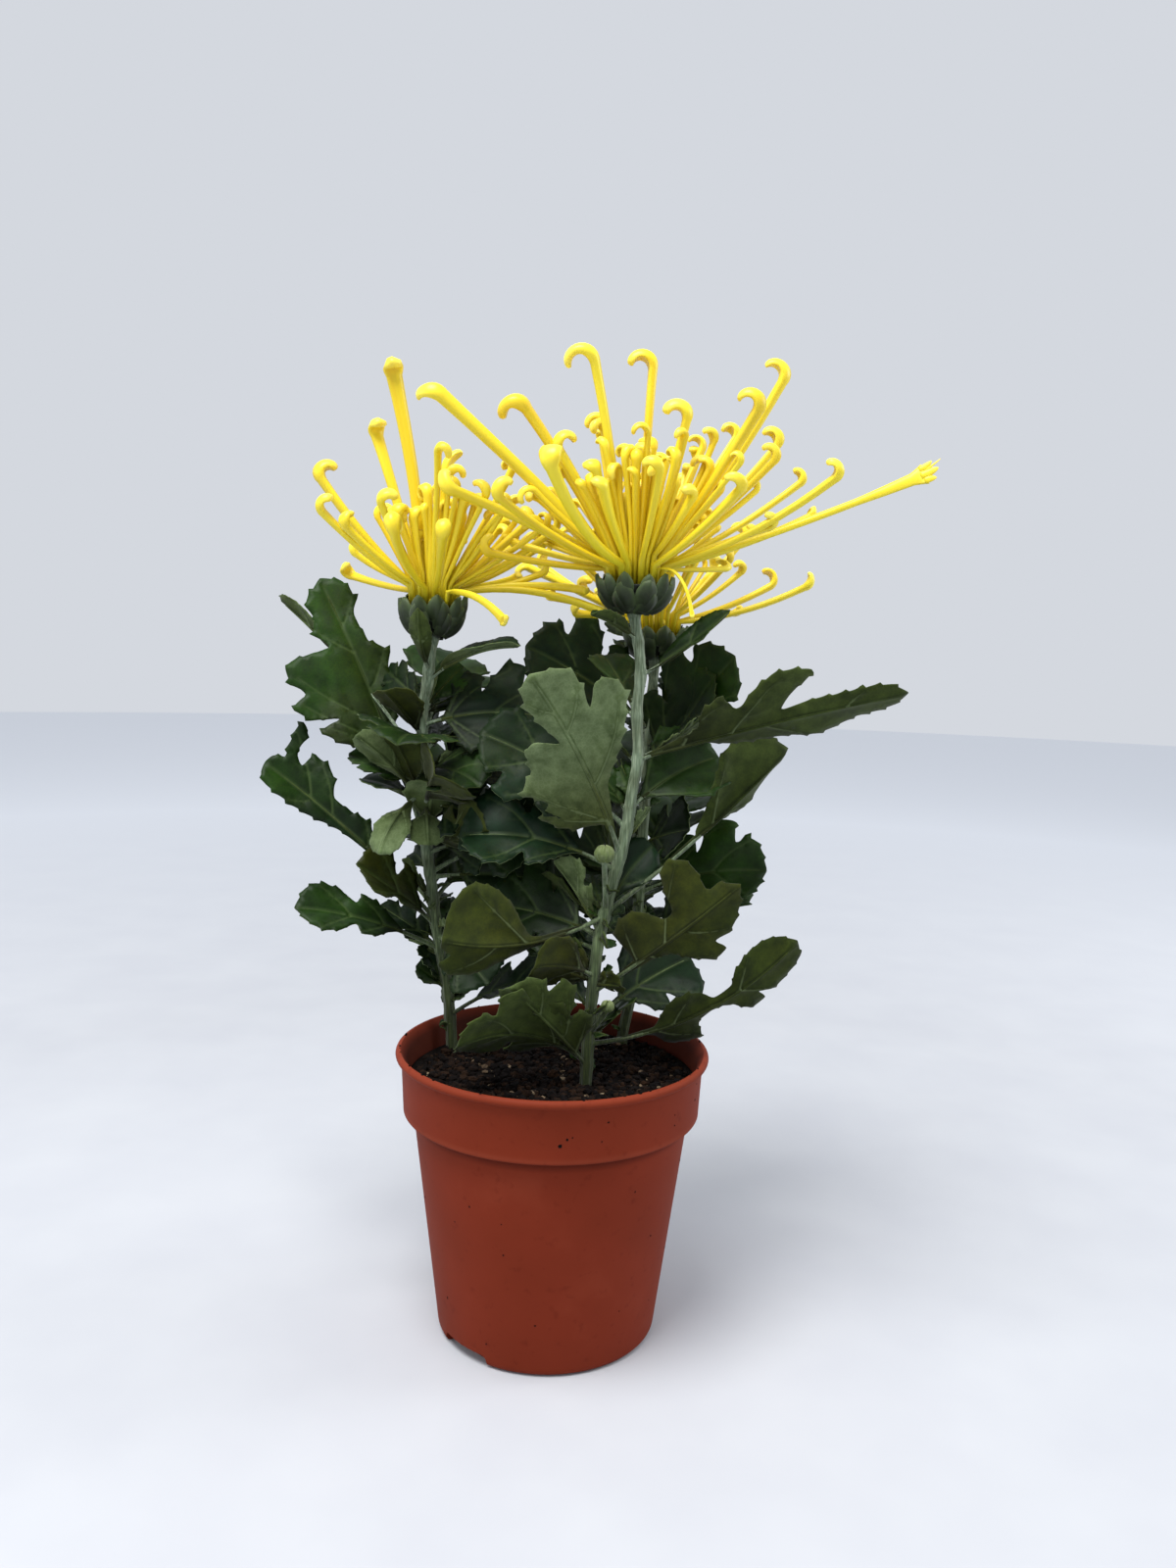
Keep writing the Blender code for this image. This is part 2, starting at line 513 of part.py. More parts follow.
def blade_plan(shape_name, stalk, half_width):
    """Triangles of a leaf seen flat: x runs from 0 to 1 along the midrib, y across it."""
    halves = BLADE_SHAPES[shape_name]
    edges = []
    for half in (halves[0], halves[-1]):
        edge = [Vector((0.0, PETIOLE_WIDTH / 2)), Vector((stalk * 0.6, PETIOLE_WIDTH / 2))]
        for along, across in half:
            narrowest = PETIOLE_WIDTH / 2 if along < 0.9 else 0.0
            edge.append(Vector((stalk + (1 - stalk) * along, max(across * half_width, narrowest))))
        edges.append(edge)
    loop = edges[0] + [Vector((p.x, -p.y)) for p in reversed(edges[1][:-1])]
    tip = len(edges[0]) - 1
    places = [0.0, stalk * 0.7] + [stalk + (1 - stalk) * share for share in (0.25, 0.50, 0.76)]
    spine = [Vector((t, 0)) for t in places]
    return loop, spine, tip


def leaf_frame(row, base, samples=24):
    """Midrib points with the across and face directions there, ending exactly at the tip."""
    azimuth, rise, length, droop, swing, roll, stalk = (row[i] for i in (1, 2, 3, 5, 6, 7, 9))
    points, directions = [Vector((0, 0, 0))], []
    for i in range(samples):
        t = (i + 0.5) / samples
        directions.append((azimuth + swing * (t - 0.5), rise - droop * (t - 0.5)))
        points.append(points[-1] + heading(*directions[-1]))
    chord = points[-1]
    target = heading(azimuth, rise) * length
    turn = chord.rotation_difference(target)
    scale = length / chord.length
    frames = []
    for i, point in enumerate(points):
        a, e = directions[min(i, samples - 1)]
        tangent = turn @ heading(a, e)
        face = turn @ heading(a, e + 90)
        spin = Matrix.Rotation(math.radians(roll) * min(1.0, i / samples / max(stalk, 0.05)), 3, tangent)
        face = spin @ face
        frames.append((base + turn @ point * scale, face.cross(tangent).normalized(), face.normalized()))
    return frames


def frame_at(frames, t):
    place = t * (len(frames) - 1)
    i = min(int(place), len(frames) - 2)
    share = place - i
    return [frames[i][k].lerp(frames[i + 1][k], share) for k in range(3)]


def add_leaf(shape, row, base):
    """A blade with its lobes, folded along the midrib, of equal triangles on both faces."""
    length, width, fold, stalk, shape_name = (row[i] for i in (3, 4, 8, 9, 10))
    frames = leaf_frame(row, base)
    loop, spine, tip = blade_plan(shape_name, stalk, width / 2)
    flat = [Vector((p.x * length, p.y)) for p in loop + spine]
    count = len(loop)
    edges = [(i, (i + 1) % count) for i in range(count)]
    chain = list(range(count + 1, count + len(spine))) + [tip]
    edges += list(zip(chain, chain[1:]))
    plan = geometry.delaunay_2d_cdt(flat, edges, [list(range(count))], 1, 1e-5)
    lift = math.radians(fold)
    sides = []
    for face_side in (1, -1):
        row_of = []
        for spot in plan[0]:
            t = min(max(spot.x / length, 0.0), 1.0)
            middle, across, face = frame_at(frames, t)
            half = 0.5 * (PETIOLE_THICKNESS if t < stalk * 0.8 else BLADE_THICKNESS)
            place = middle + across * spot.y * math.cos(lift) + face * abs(spot.y) * math.sin(lift)
            row_of.append(shape.verts.new(place + face * half * face_side))
        sides.append(row_of)
    upper, lower = sides
    for triangle in plan[2]:
        shape.faces.new([upper[i] for i in triangle])
        shape.faces.new([lower[i] for i in reversed(triangle)])
    used = {(triangle[i], triangle[(i + 1) % 3]) for triangle in plan[2] for i in range(3)}
    for a, b in sorted(used):
        if (b, a) not in used:
            shape.faces.new((upper[b], upper[a], lower[a]))
            shape.faces.new((upper[b], lower[a], lower[b]))
    for vert in [v for v in shape.verts if not v.link_faces]:
        shape.verts.remove(vert)


def make_leafy_stem(name, material):
    path = stem_path(name)
    body = make_stem(name + "_core", path)
    repeats = []
    for i, row in enumerate(LEAVES[name]):
        shape = bmesh.new()
        add_leaf(shape, row, point_at_height(path, row[0]))
        repeats.append(object_from_bmesh("%s_leaf_%02d" % (name, i), shape))
    for i, (stem, height, tip, radius) in enumerate(SHOOTS):
        if stem != name:
            continue
        base = point_at_height(path, height)
        shape = bmesh.new()
        end = Vector(tip)
        knee = base.lerp(end, 0.35) + Vector((end - base).cross(Vector((1, 0, 0)))).normalized() * 1.0
        add_tube(shape, [base, knee, end], [1.1, 1.0, 1.0], 6)
        repeats.append(object_from_bmesh("%s_shoot_%d" % (name, i), shape))
        shape = bmesh.new()
        bmesh.ops.create_icosphere(shape, subdivisions=1, radius=radius)
        bmesh.ops.translate(shape, vec=end + Vector((0, 0, radius * 0.7)), verts=shape.verts)
        repeats.append(object_from_bmesh("%s_bud_%d" % (name, i), shape))
    return fuse(name + "_leafy_stem", body, repeats, material)


def floret_path(middle, row, straight, curl_steps):
    azimuth, rise, reach, bow, turn, radius, toward = row[:7]
    out = heading(azimuth, rise)
    seat = heading(azimuth, max(rise, LOWEST_ROOT_RISE))
    dome = Vector((RECEPTACLE_RADIUS, RECEPTACLE_RADIUS, RECEPTACLE_HEIGHT))
    root = middle + seat * dome * ROOT_DEPTH
    neck = middle + out * reach
    chord = neck - root
    side = heading(azimuth, rise + 90)
    sag = -2 * math.tan(math.radians(bow) / 4) * chord.length
    path = []
    for i in range(straight + 1):
        t = i / straight
        path.append(root + chord * t + side * sag * t * (1 - t))
    tangent = (path[-1] - path[-2]).normalized()
    pull = heading(toward, PULL_RISE)
    pull = (pull - tangent * pull.dot(tangent)).normalized()
    here = path[-1]
    step = math.radians(turn) / curl_steps
    for i in range(curl_steps):
        tight = radius * (1 - TIP_TIGHTENING * i / curl_steps)
        spin = step * (i + 0.5)
        move = tangent * math.cos(spin) + pull * math.sin(spin)
        here = here + move * tight * step
        path.append(here)
    return path


def floret_radii(path, row, straight):
    half_width = row[-1]
    radii = []
    for i in range(len(path)):
        if i <= straight:
            share = i / straight
            radii.append(half_width * (0.72 + 0.28 * share ** 1.5))
        else:
            share = (i - straight) / (len(path) - 1 - straight)
            radii.append(half_width * (1.0 - 0.45 * share))
    return radii


def filling_florets(name, count):
    """Shorter florets that fill the head: steep ones inside, flatter and longer ones outside."""
    draw = random.Random(FLORET_SEEDS[name])
    rows = []
    for i in range(count):
        azimuth = (i * 137.5) % 360 + draw.uniform(-8, 8)
        share = (i + 0.5) / count
        rise = 82 - 66 * share + draw.uniform(-5, 5)
        reach = 26 + 22 * share + draw.uniform(-4, 6)
        bow, turn, radius = draw.uniform(-4, 18), draw.uniform(150, 210), draw.uniform(2.2, 2.8)
        toward, half_width = azimuth + 180 + draw.uniform(-50, 50), draw.uniform(1.0, 1.2)
        rows.append((azimuth, rise, reach, bow, turn, radius, toward, half_width))
    return rows


def make_bloom(name, spec, material):
    middle = Vector(spec["middle"])
    dome = [(0, 0), (RECEPTACLE_RADIUS, 0)]
    for angle in (20, 45, 70):
        dome.append((RECEPTACLE_RADIUS * math.cos(math.radians(angle)),
                     RECEPTACLE_HEIGHT * math.sin(math.radians(angle))))
    dome.append((0, RECEPTACLE_HEIGHT))
    shape = turned([(radius, height - RECEPTACLE_SINK) for radius, height in dome], RECEPTACLE_SIDES)
    bmesh.ops.translate(shape, vec=middle, verts=shape.verts)
    body = object_from_bmesh(name + "_receptacle", shape)
    repeats = []
    placed = [(row, 3, 5) for row in spec["florets"]]
    filling = [(row, 2, 4) for row in filling_florets(name, spec["filling"])]
    for i, (row, straight, curl_steps) in enumerate(placed + filling):
        path = floret_path(middle, row, straight, curl_steps)
        shape = bmesh.new()
        add_tube(shape, path, floret_radii(path, row, straight), FLORET_SIDES)
        repeats.append(object_from_bmesh("%s_floret_%02d" % (name, i), shape))
    return fuse(name + "_bloom_florets", body, repeats, material)


def make_involucre(name, middle, stem_end, material):
    """Green cup of overlapping bracts, raised from a turned cup by a formula."""
    columns = BRACTS * COLUMNS_PER_BRACT
    top = middle[2] - RECEPTACLE_SINK - FIT_GAP
    foot = stem_end[2] + FIT_GAP
    shape = bmesh.new()
    rings = []
    for j in range(CUP_ROWS + 1):
        share = j / CUP_ROWS
        spread = math.sin(share * math.pi / 2) ** 0.8
        base = CUP_FOOT_RADIUS + (CUP_RADIUS - CUP_FOOT_RADIUS) * spread
        tier = min(int(share * BRACT_TIERS), BRACT_TIERS - 1)
        within = share * BRACT_TIERS - tier
        relief = BRACT_RELIEF * (0.35 if j in (0, CUP_ROWS) else 1.0)
        centre = Vector(stem_end).lerp(Vector(middle), share)
        ring = []
        for k in range(columns):
            phase = ((k / COLUMNS_PER_BRACT + 0.5 * (tier % 2)) % 1.0) - 0.5
            bulge = max(0.0, 1 - (2 * phase) ** 2) * math.sin(min(within + 0.15, 1.0) * math.pi * 0.72)
            radius = base + relief * bulge - BRACT_RELIEF / 2
            angle = 2 * math.pi * k / columns
            ring.append(shape.verts.new((centre.x + radius * math.cos(angle),
                                         centre.y + radius * math.sin(angle), foot + (top - foot) * share)))
        rings.append(ring)
    for low, high in zip(rings, rings[1:]):
        for k in range(columns):
            n = (k + 1) % columns
            shape.faces.new((low[k], low[n], high[n], high[k]))
    shape.faces.new(list(reversed(rings[0])))
    shape.faces.new(rings[-1])
    return object_from_bmesh(name + "_bloom_involucre", shape, material)


def main():
    clear_scene()
    plastic = make_material("terracotta_plastic", "9A412B", 0.42)
    peat = make_material("peat", "1E1512", 0.95)
    foliage = make_material("leaf_green", "2B4222", 0.55)
    bract_green = make_material("bract_green", "2C4A34", 0.60)
    yellow = make_material("floret_yellow", "F2D400", 0.45)
    make_pot(plastic)
    make_soil({name: points[0] for name, points in STEMS.items()}, peat)
    for name, spec in BLOOMS.items():
        make_leafy_stem(name, foliage)
        make_involucre(name, spec["middle"], STEMS[name][-1], bract_green)
        make_bloom(name, spec, yellow)


main()
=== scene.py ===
import math
import random

import bmesh
import bpy
import numpy as np
from mathutils import Matrix, Vector, geometry, noise


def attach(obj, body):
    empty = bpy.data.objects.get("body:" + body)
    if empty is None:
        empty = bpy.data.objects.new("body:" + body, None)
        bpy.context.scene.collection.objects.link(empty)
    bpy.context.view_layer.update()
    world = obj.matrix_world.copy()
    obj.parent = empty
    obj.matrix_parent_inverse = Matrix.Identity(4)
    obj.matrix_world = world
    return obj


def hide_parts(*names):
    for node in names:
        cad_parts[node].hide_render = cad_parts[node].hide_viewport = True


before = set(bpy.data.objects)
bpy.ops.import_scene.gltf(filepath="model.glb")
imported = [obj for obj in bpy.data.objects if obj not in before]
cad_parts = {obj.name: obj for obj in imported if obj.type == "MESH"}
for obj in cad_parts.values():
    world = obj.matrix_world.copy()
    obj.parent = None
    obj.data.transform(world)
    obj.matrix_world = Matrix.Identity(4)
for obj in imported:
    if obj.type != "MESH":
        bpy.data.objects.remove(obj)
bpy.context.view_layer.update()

# Lengths here are millimetres and angles are degrees. Azimuth turns from +X towards +Y, and rise is up
# from level.
mm = 0.001


def toLinear(hexColour):
    channels = [int(hexColour[i:i + 2], 16) / 255 for i in (0, 2, 4)]
    return tuple(c / 12.92 if c <= 0.04045 else ((c + 0.055) / 1.055) ** 2.4 for c in channels) + (1.0,)


blend = {"data_type": "RGBA"}  # settings of a mix node: its second colour over the first
multiply = {"data_type": "RGBA", "blend_type": "MULTIPLY"}  # or one colour times the other


def addNode(tree, kind, sockets=None, stops=None, **settings):
    # sockets: name or number of an input, and its value or the output that feeds it. stops: a ramp's colours.
    # A mix node has its share at input 0, its two colours at 6 and 7, and its result at output 2.
    node = tree.nodes.new("ShaderNode" + kind)
    for name, value in settings.items():
        setattr(node, name, value)
    for name, value in (sockets or {}).items():
        if isinstance(value, bpy.types.NodeSocket):
            tree.links.new(value, node.inputs[name])
        else:
            node.inputs[name].default_value = value
    if stops:
        elements = node.color_ramp.elements
        while len(elements) < len(stops):
            elements.new(0.5)
        for element, (place, hexColour) in zip(elements, stops):
            element.position = place
            element.color = toLinear(hexColour)
    return node


def startMaterial(name, look):
    material = bpy.data.materials.new(name)
    material.use_nodes = True
    tree = material.node_tree
    shader = tree.nodes["Principled BSDF"]
    for socket, value in look.items():
        shader.inputs[socket].default_value = value
    # object coordinates are metres, so a pattern scale of 1000 / size gives lumps of that many millimetres
    space = addNode(tree, "TexCoord").outputs["Object"]
    return material, tree, shader, space


def heading(azimuth, rise):
    a, e = math.radians(azimuth), math.radians(rise)
    return Vector((math.cos(e) * math.cos(a), math.cos(e) * math.sin(a), math.sin(e)))


def smoothPath(points, steps):
    path = []
    for i in range(len(points) - 1):
        before, start, end = points[max(i - 1, 0)], points[i], points[i + 1]
        after = points[min(i + 2, len(points) - 1)]
        for k in range(steps):
            t = k / steps
            path.append(0.5 * (2 * start + (end - before) * t
                               + (2 * before - 5 * start + 4 * end - after) * t * t
                               + (3 * start - before - 3 * end + after) * t ** 3))
    path.append(points[-1].copy())
    return path


markNames = ("tone", "vein", "along", "around")  # values kept at each point, which the materials read


def newBuild():
    return {"points": [], "faces": [], "slots": [], "marks": {name: [] for name in markNames}}


def addPoint(build, place, tone=0.5, vein=0.0, along=0.0, around=0.0):
    build["points"].append(place)
    for name, value in zip(markNames, (tone, vein, along, around)):
        build["marks"][name].append(value)
    return len(build["points"]) - 1


def addFace(build, corners, slot=0):
    build["faces"].append(corners)
    build["slots"].append(slot)


def makePiece(name, build, materials, nodes=(), smooth=True):
    # points that no face uses, such as the spots of a leaf's grid outside its outline, are left out
    used = sorted({i for corners in build["faces"] for i in corners})
    order = {old: new for new, old in enumerate(used)}
    mesh = bpy.data.meshes.new(name)
    mesh.from_pydata([tuple(build["points"][i] * mm) for i in used], [],
                     [tuple(order[i] for i in corners) for corners in build["faces"]])
    for mark, values in build["marks"].items():
        mesh.attributes.new(mark, "FLOAT", "POINT").data.foreach_set("value", [values[i] for i in used])
    for material in materials:
        mesh.materials.append(material)
    mesh.polygons.foreach_set("material_index", build["slots"])
    mesh.polygons.foreach_set("use_smooth", [smooth] * len(mesh.polygons))
    mesh.update()
    piece = bpy.data.objects.new(name, mesh)
    bpy.context.scene.collection.objects.link(piece)
    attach(piece, "root")
    if nodes:
        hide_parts(*nodes)
    return piece


def joinRings(build, rings, slot=0):
    # a closed tube through rings that have the same number of points
    sides = len(rings[0])
    for low, high in zip(rings, rings[1:]):
        for k in range(sides):
            n = (k + 1) % sides
            addFace(build, (low[k], low[n], high[n], high[k]), slot)
    addFace(build, tuple(reversed(rings[0])), slot)
    addFace(build, tuple(rings[-1]), slot)


def addTube(build, path, section, sides, reference, slot=0, tone=0.5):
    # section(i, angle) gives the way out from the centre line as shares of the across and up directions
    rings = []
    up = reference
    last = len(path) - 1
    for i, centre in enumerate(path):
        tangent = (path[min(i + 1, last)] - path[max(i - 1, 0)]).normalized()
        across = tangent.cross(up)
        if across.length < 0.05:
            across = tangent.orthogonal()
        across.normalize()
        up = across.cross(tangent).normalized()
        ring = []
        for k in range(sides):
            wide, high = section(i, 2 * math.pi * k / sides)
            ring.append(addPoint(build, centre + across * wide + up * high, tone, 0.0, i / last))
        rings.append(ring)
    joinRings(build, rings, slot)


def turnedBuild(profile, sides):
    # a (radius, height) profile turned about the vertical axis
    build = newBuild()
    rings = []
    for radius, height in profile:
        ring = []
        for k in range(sides if radius > 1e-6 else 1):
            angle = 2 * math.pi * k / sides
            ring.append(addPoint(build, Vector((radius * math.cos(angle), radius * math.sin(angle), height))))
        rings.append(ring)
    for low, high in zip(rings, rings[1:]):
        for k in range(sides):
            n = (k + 1) % sides
            corners = [low[k % len(low)], low[n % len(low)], high[n % len(high)], high[k % len(high)]]
            unique = tuple(dict.fromkeys(corners))
            if len(unique) > 2:
                addFace(build, unique)
    return build


# Camera, matched to the photo: it stands in front, nearly as high as the cups, and looks slightly down
cameraPlace = {"distance": 459, "height": 263, "lens": 28.125, "pitch": 6.35, "yaw": 1.33, "roll": 1.67}


def makeCamera(place):
    data = bpy.data.cameras.new("photoCamera")
    data.lens = place["lens"]
    data.clip_start = 0.02
    camera = bpy.data.objects.new("photoCamera", data)
    bpy.context.scene.collection.objects.link(camera)
    pitch, yaw, roll = (math.radians(place[key]) for key in ("pitch", "yaw", "roll"))
    right = Vector((math.cos(yaw), -math.sin(yaw), 0))
    forward = Vector((math.sin(yaw) * math.cos(pitch), math.cos(yaw) * math.cos(pitch), -math.sin(pitch)))
    up = right.cross(forward)
    right, up = right * math.cos(roll) + up * math.sin(roll), up * math.cos(roll) - right * math.sin(roll)
    turn = Matrix((right, up, -forward)).transposed().to_4x4()
    camera.matrix_world = Matrix.Translation((0, -place["distance"] * mm, place["height"] * mm)) @ turn
    bpy.context.scene.camera = camera


makeCamera(cameraPlace)

# Studio: pale matt floor, pale surround, a broad soft light above and weaker ones at the sides
studio = {
    "floor": [(0.3, "BDBFC4"), (0.7, "C2C4C8")], "farFloor": "EEF1F6", "nearRadius": 450, "farRadius": 1500,
    "surround": "D4D8DF", "surroundStrength": 1.0,
    "lights": [
        # name, place, size and power (W) of each softbox
        ("overheadSoftbox", (-250, -350, 1150), 600, 14),
        ("leftSoftbox", (-1100, -200, 600), 500, 1.5),
        ("rightSoftbox", (1100, 150, 650), 500, 4.6),
    ],
    "aim": (0, 0, 190),
}


def makeStudio(spec):
    # matt painted board: no gloss, faint unevenness, paler far off so that it runs into the surround
    look = {"Roughness": 0.9, "Specular IOR Level": 0.2}
    material, tree, shader, space = startMaterial("mattPaintedBoard", look)
    cloud = addNode(tree, "TexNoise", {"Vector": space, "Scale": 1000 / 60, "Detail": 3.0})
    tint = addNode(tree, "ValToRGB", {"Fac": cloud.outputs["Fac"]}, stops=spec["floor"])
    reach = addNode(tree, "VectorMath", {0: space}, operation="LENGTH")
    near, distant = spec["nearRadius"] * mm, spec["farRadius"] * mm
    far = addNode(tree, "MapRange", {
        "Value": reach.outputs["Value"], "From Min": near, "From Max": distant})
    faded = addNode(tree, "Mix", {
        0: far.outputs["Result"], 6: tint.outputs["Color"], 7: toLinear(spec["farFloor"])}, **blend)
    tree.links.new(faded.outputs[2], shader.inputs["Base Color"])
    bpy.ops.mesh.primitive_circle_add(vertices=96, radius=4.0, fill_type="NGON", location=(0, 0, 0))
    floor = bpy.context.object
    floor.name = "studioFloor"
    floor.data.materials.append(material)
    world = bpy.data.worlds.new("paleSurround")
    bpy.context.scene.world = world
    world.use_nodes = True
    backdrop = world.node_tree.nodes["Background"]
    backdrop.inputs["Color"].default_value = toLinear(spec["surround"])
    backdrop.inputs["Strength"].default_value = spec["surroundStrength"]
    for name, place, size, power in spec["lights"]:
        data = bpy.data.lights.new(name, "AREA")
        data.shape = "DISK"
        data.size = size * mm
        data.energy = power
        light = bpy.data.objects.new(name, data)
        bpy.context.scene.collection.objects.link(light)
        light.location = Vector(place) * mm
        light.rotation_euler = (Vector(spec["aim"]) - Vector(place)).to_track_quat("-Z", "Y").to_euler()


makeStudio(studio)
bpy.context.scene.view_settings.view_transform = "Standard"
print("studio ready")

# Nursery pot
pot = {
    "height": 110.0, "rimRadius": 60.0, "baseRadius": 42.0, "sides": 144, "wall": 1.6, "floorThickness": 2.5,
    "footRound": 3.0,
    "collarDrop": 23.0, "collarStep": 4.0, "shoulderDrop": 2.2, "ledgeFillet": 1.0, "ledgeRound": 0.8,
    "rimOverhang": 3.2, "beadRadius": 1.6,
    "collarTopDrop": 4.6, "collarLean": 0.9,  # where the collar ends below the rim, and how far it leans out
    "notchWidth": 23.0, "notchHeight": 4.6, "notchDepth": 5.0, "notchRound": 2.2,
    "notchAzimuths": (-136.0, 44.0), "sharpAngle": 40.0,
    "rampHeight": 120.0,  # heights in the pot's two height ramps are shares of this
    "specks": 90, "speckBands": ((8, 82), (89, 104), (109.6, 110)),  # heights on the wall, collar and rim
    "speckSize": (0.32, 0.97), "speckThickness": 0.18, "rimSpeckSize": (0.4, 0.9),
}


def arc(centre, radii, startAngle, endAngle, steps):
    points = []
    for i in range(steps + 1):
        angle = math.radians(startAngle + (endAngle - startAngle) * i / steps)
        points.append((centre[0] + radii[0] * math.cos(angle), centre[1] + radii[1] * math.sin(angle)))
    return points


def wallRadius(height):
    # outside of the tapered wall
    shoulderFoot = pot["height"] - pot["collarDrop"] - pot["shoulderDrop"]
    top = pot["rimRadius"] - pot["rimOverhang"] - pot["collarStep"]
    return pot["baseRadius"] + (top - pot["baseRadius"]) * height / shoulderFoot


def potSection():
    # (radius, height) of the outside from the middle of the foot to the rim, and of the inside down again
    collarFoot, collarTop = pot["height"] - pot["collarDrop"], pot["height"] - pot["collarTopDrop"]
    shoulderFoot = collarFoot - pot["shoulderDrop"]
    collar = pot["rimRadius"] - pot["rimOverhang"]
    wallTop, wall, bead, foot = collar - pot["collarStep"], pot["wall"], pot["beadRadius"], pot["footRound"]
    fillet, lip, floor = pot["ledgeFillet"], pot["ledgeRound"], pot["floorThickness"]
    outside = [(0, 0)] + arc((wallRadius(foot) - foot, foot), (foot, foot), -90, -4, 6)
    outside += [(wallRadius(20), 20), (wallRadius(50), 50), (wallTop, shoulderFoot - 0.3)]
    outside += arc((wallTop + fillet, shoulderFoot), (fillet, fillet), 180, 100, 5)
    outside += arc((collar - lip, collarFoot), (lip, lip), -80, -2, 5)
    outside += [(collar, collarFoot + 0.6), (collar + pot["collarLean"], collarTop)]
    outside += arc((pot["rimRadius"] - bead, pot["height"] - bead), (bead, bead), -100, 100, 12)
    inside = [(collar + 0.5 - wall, collarTop + 1.0), (collar - wall, collarFoot + wall),
              (collar - wall - lip, collarFoot + wall - lip), (wallTop - wall, shoulderFoot + 0.6),
              (wallRadius(floor) - 1.5 * wall, floor), (0, floor)]
    return outside, inside


def terracottaPolypropylene():
    # injection-moulded polypropylene dyed terracotta: even satin skin with a broad soft highlight
    look = {"Roughness": 0.62, "IOR": 1.49, "Specular IOR Level": 0.08}
    material, tree, shader, space = startMaterial("mouldedPolypropylene", look)
    dust = addNode(tree, "TexNoise", {"Vector": space, "Scale": 1000 / 38, "Detail": 5.0})
    base = addNode(tree, "ValToRGB", {"Fac": dust.outputs["Fac"]},
                   stops=[(0.25, "6F2814"), (0.6, "782C18"), (0.85, "853823")])
    grime = addNode(tree, "TexNoise", {"Vector": space, "Scale": 1000 / 4, "Detail": 6.0})
    marks = addNode(tree, "ValToRGB", {"Fac": grime.outputs["Fac"]},
                    stops=[(0.60, "FFFFFF"), (0.74, "D8C9C2")])
    skin = addNode(tree, "Mix", {0: 0.6, 6: base.outputs["Color"], 7: marks.outputs["Color"]}, **multiply)
    # painted highlight: paler bands along the collar's foot and on top of the rim; painted shade: darker in
    # the corner below the collar
    split = addNode(tree, "SeparateXYZ", {0: space})
    level = addNode(tree, "Math", {0: split.outputs["Z"], 1: pot["rampHeight"] * mm}, operation="DIVIDE")
    paintedHighlight = addNode(tree, "ValToRGB", {"Fac": level.outputs[0]},
                     stops=[(0.720, "000000"), (0.728, "5A5A5A"), (0.742, "000000"), (0.895, "000000"),
                            (0.914, "505050")])
    edged = addNode(tree, "Mix", {
        0: paintedHighlight.outputs["Color"], 6: skin.outputs[2], 7: toLinear("A85F48")}, **blend)
    # painted shade in the corner under the collar's ledge
    corner = addNode(tree, "ValToRGB", {"Fac": level.outputs[0]},
                     stops=[(0.68, "FFFFFF"), (0.702, "C8C0BC"), (0.716, "A89C98"), (0.722, "FFFFFF")])
    cornerShaded = addNode(tree, "Mix", {0: 1.0, 6: edged.outputs[2], 7: corner.outputs["Color"]}, **multiply)
    # painted shade: the inside of the pot is darkened towards deep brown
    inside = addNode(tree, "Attribute", attribute_name="tone")
    insideShadeShare = addNode(tree, "Math", {0: inside.outputs["Fac"], 1: 0.75}, operation="MULTIPLY")
    insideShaded = addNode(tree, "Mix", {
        0: insideShadeShare.outputs[0], 6: cornerShaded.outputs[2], 7: toLinear("351A12")}, **blend)
    tree.links.new(insideShaded.outputs[2], shader.inputs["Base Color"])
    # faint orange peel of the mould
    peel = addNode(tree, "TexNoise", {"Vector": space, "Scale": 1000 / 1.2})
    bump = addNode(tree, "Bump", {
        "Height": peel.outputs["Fac"], "Distance": 0.05 * mm, "Strength": 0.25})
    tree.links.new(bump.outputs["Normal"], shader.inputs["Normal"])
    return material


def makePot():
    outside, inside = potSection()
    turned = turnedBuild(outside + inside, pot["sides"])
    outerCount = 1 + (len(outside) - 1) * pot["sides"]
    # points of the inside get tone 1, which the pot's material darkens as painted shade
    turned["marks"]["tone"] = [float(i >= outerCount) for i in range(len(turned["points"]))]
    shell = makePiece("pottingShell", turned, [terracottaPolypropylene()], ["pot"])
    cutters = []
    for azimuth in pot["notchAzimuths"]:
        shape = bmesh.new()
        bmesh.ops.create_cube(shape, size=1.0)
        bmesh.ops.scale(shape, vec=(2 * pot["notchDepth"], pot["notchWidth"], 2 * pot["notchHeight"]),
                        verts=shape.verts)
        topEdges = [edge for edge in shape.edges
                    if abs(edge.verts[0].co.x - edge.verts[1].co.x) > pot["notchDepth"]
                    and edge.verts[0].co.z > 0]
        bmesh.ops.bevel(shape, geom=topEdges, offset=pot["notchRound"], segments=6, affect="EDGES",
                        profile=0.5)
        bmesh.ops.translate(shape, vec=(pot["baseRadius"], 0, 0), verts=shape.verts)
        turn = Matrix.Rotation(math.radians(azimuth), 4, "Z")
        bmesh.ops.transform(shape, matrix=Matrix.Scale(mm, 4) @ turn, verts=shape.verts)
        mesh = bpy.data.meshes.new("notchCutter")
        shape.to_mesh(mesh)
        shape.free()
        cutter = bpy.data.objects.new("notchCutter", mesh)
        bpy.context.scene.collection.objects.link(cutter)
        cut = shell.modifiers.new("notch", "BOOLEAN")
        cut.operation, cut.solver, cut.object = "DIFFERENCE", "EXACT", cutter
        cutters.append(cutter)
    graph = bpy.context.evaluated_depsgraph_get()
    shell.data = bpy.data.meshes.new_from_object(shell.evaluated_get(graph))
    shell.modifiers.clear()
    for cutter in cutters:
        bpy.data.objects.remove(cutter, do_unlink=True)
    shell.data.set_sharp_from_angle(angle=math.radians(pot["sharpAngle"]))


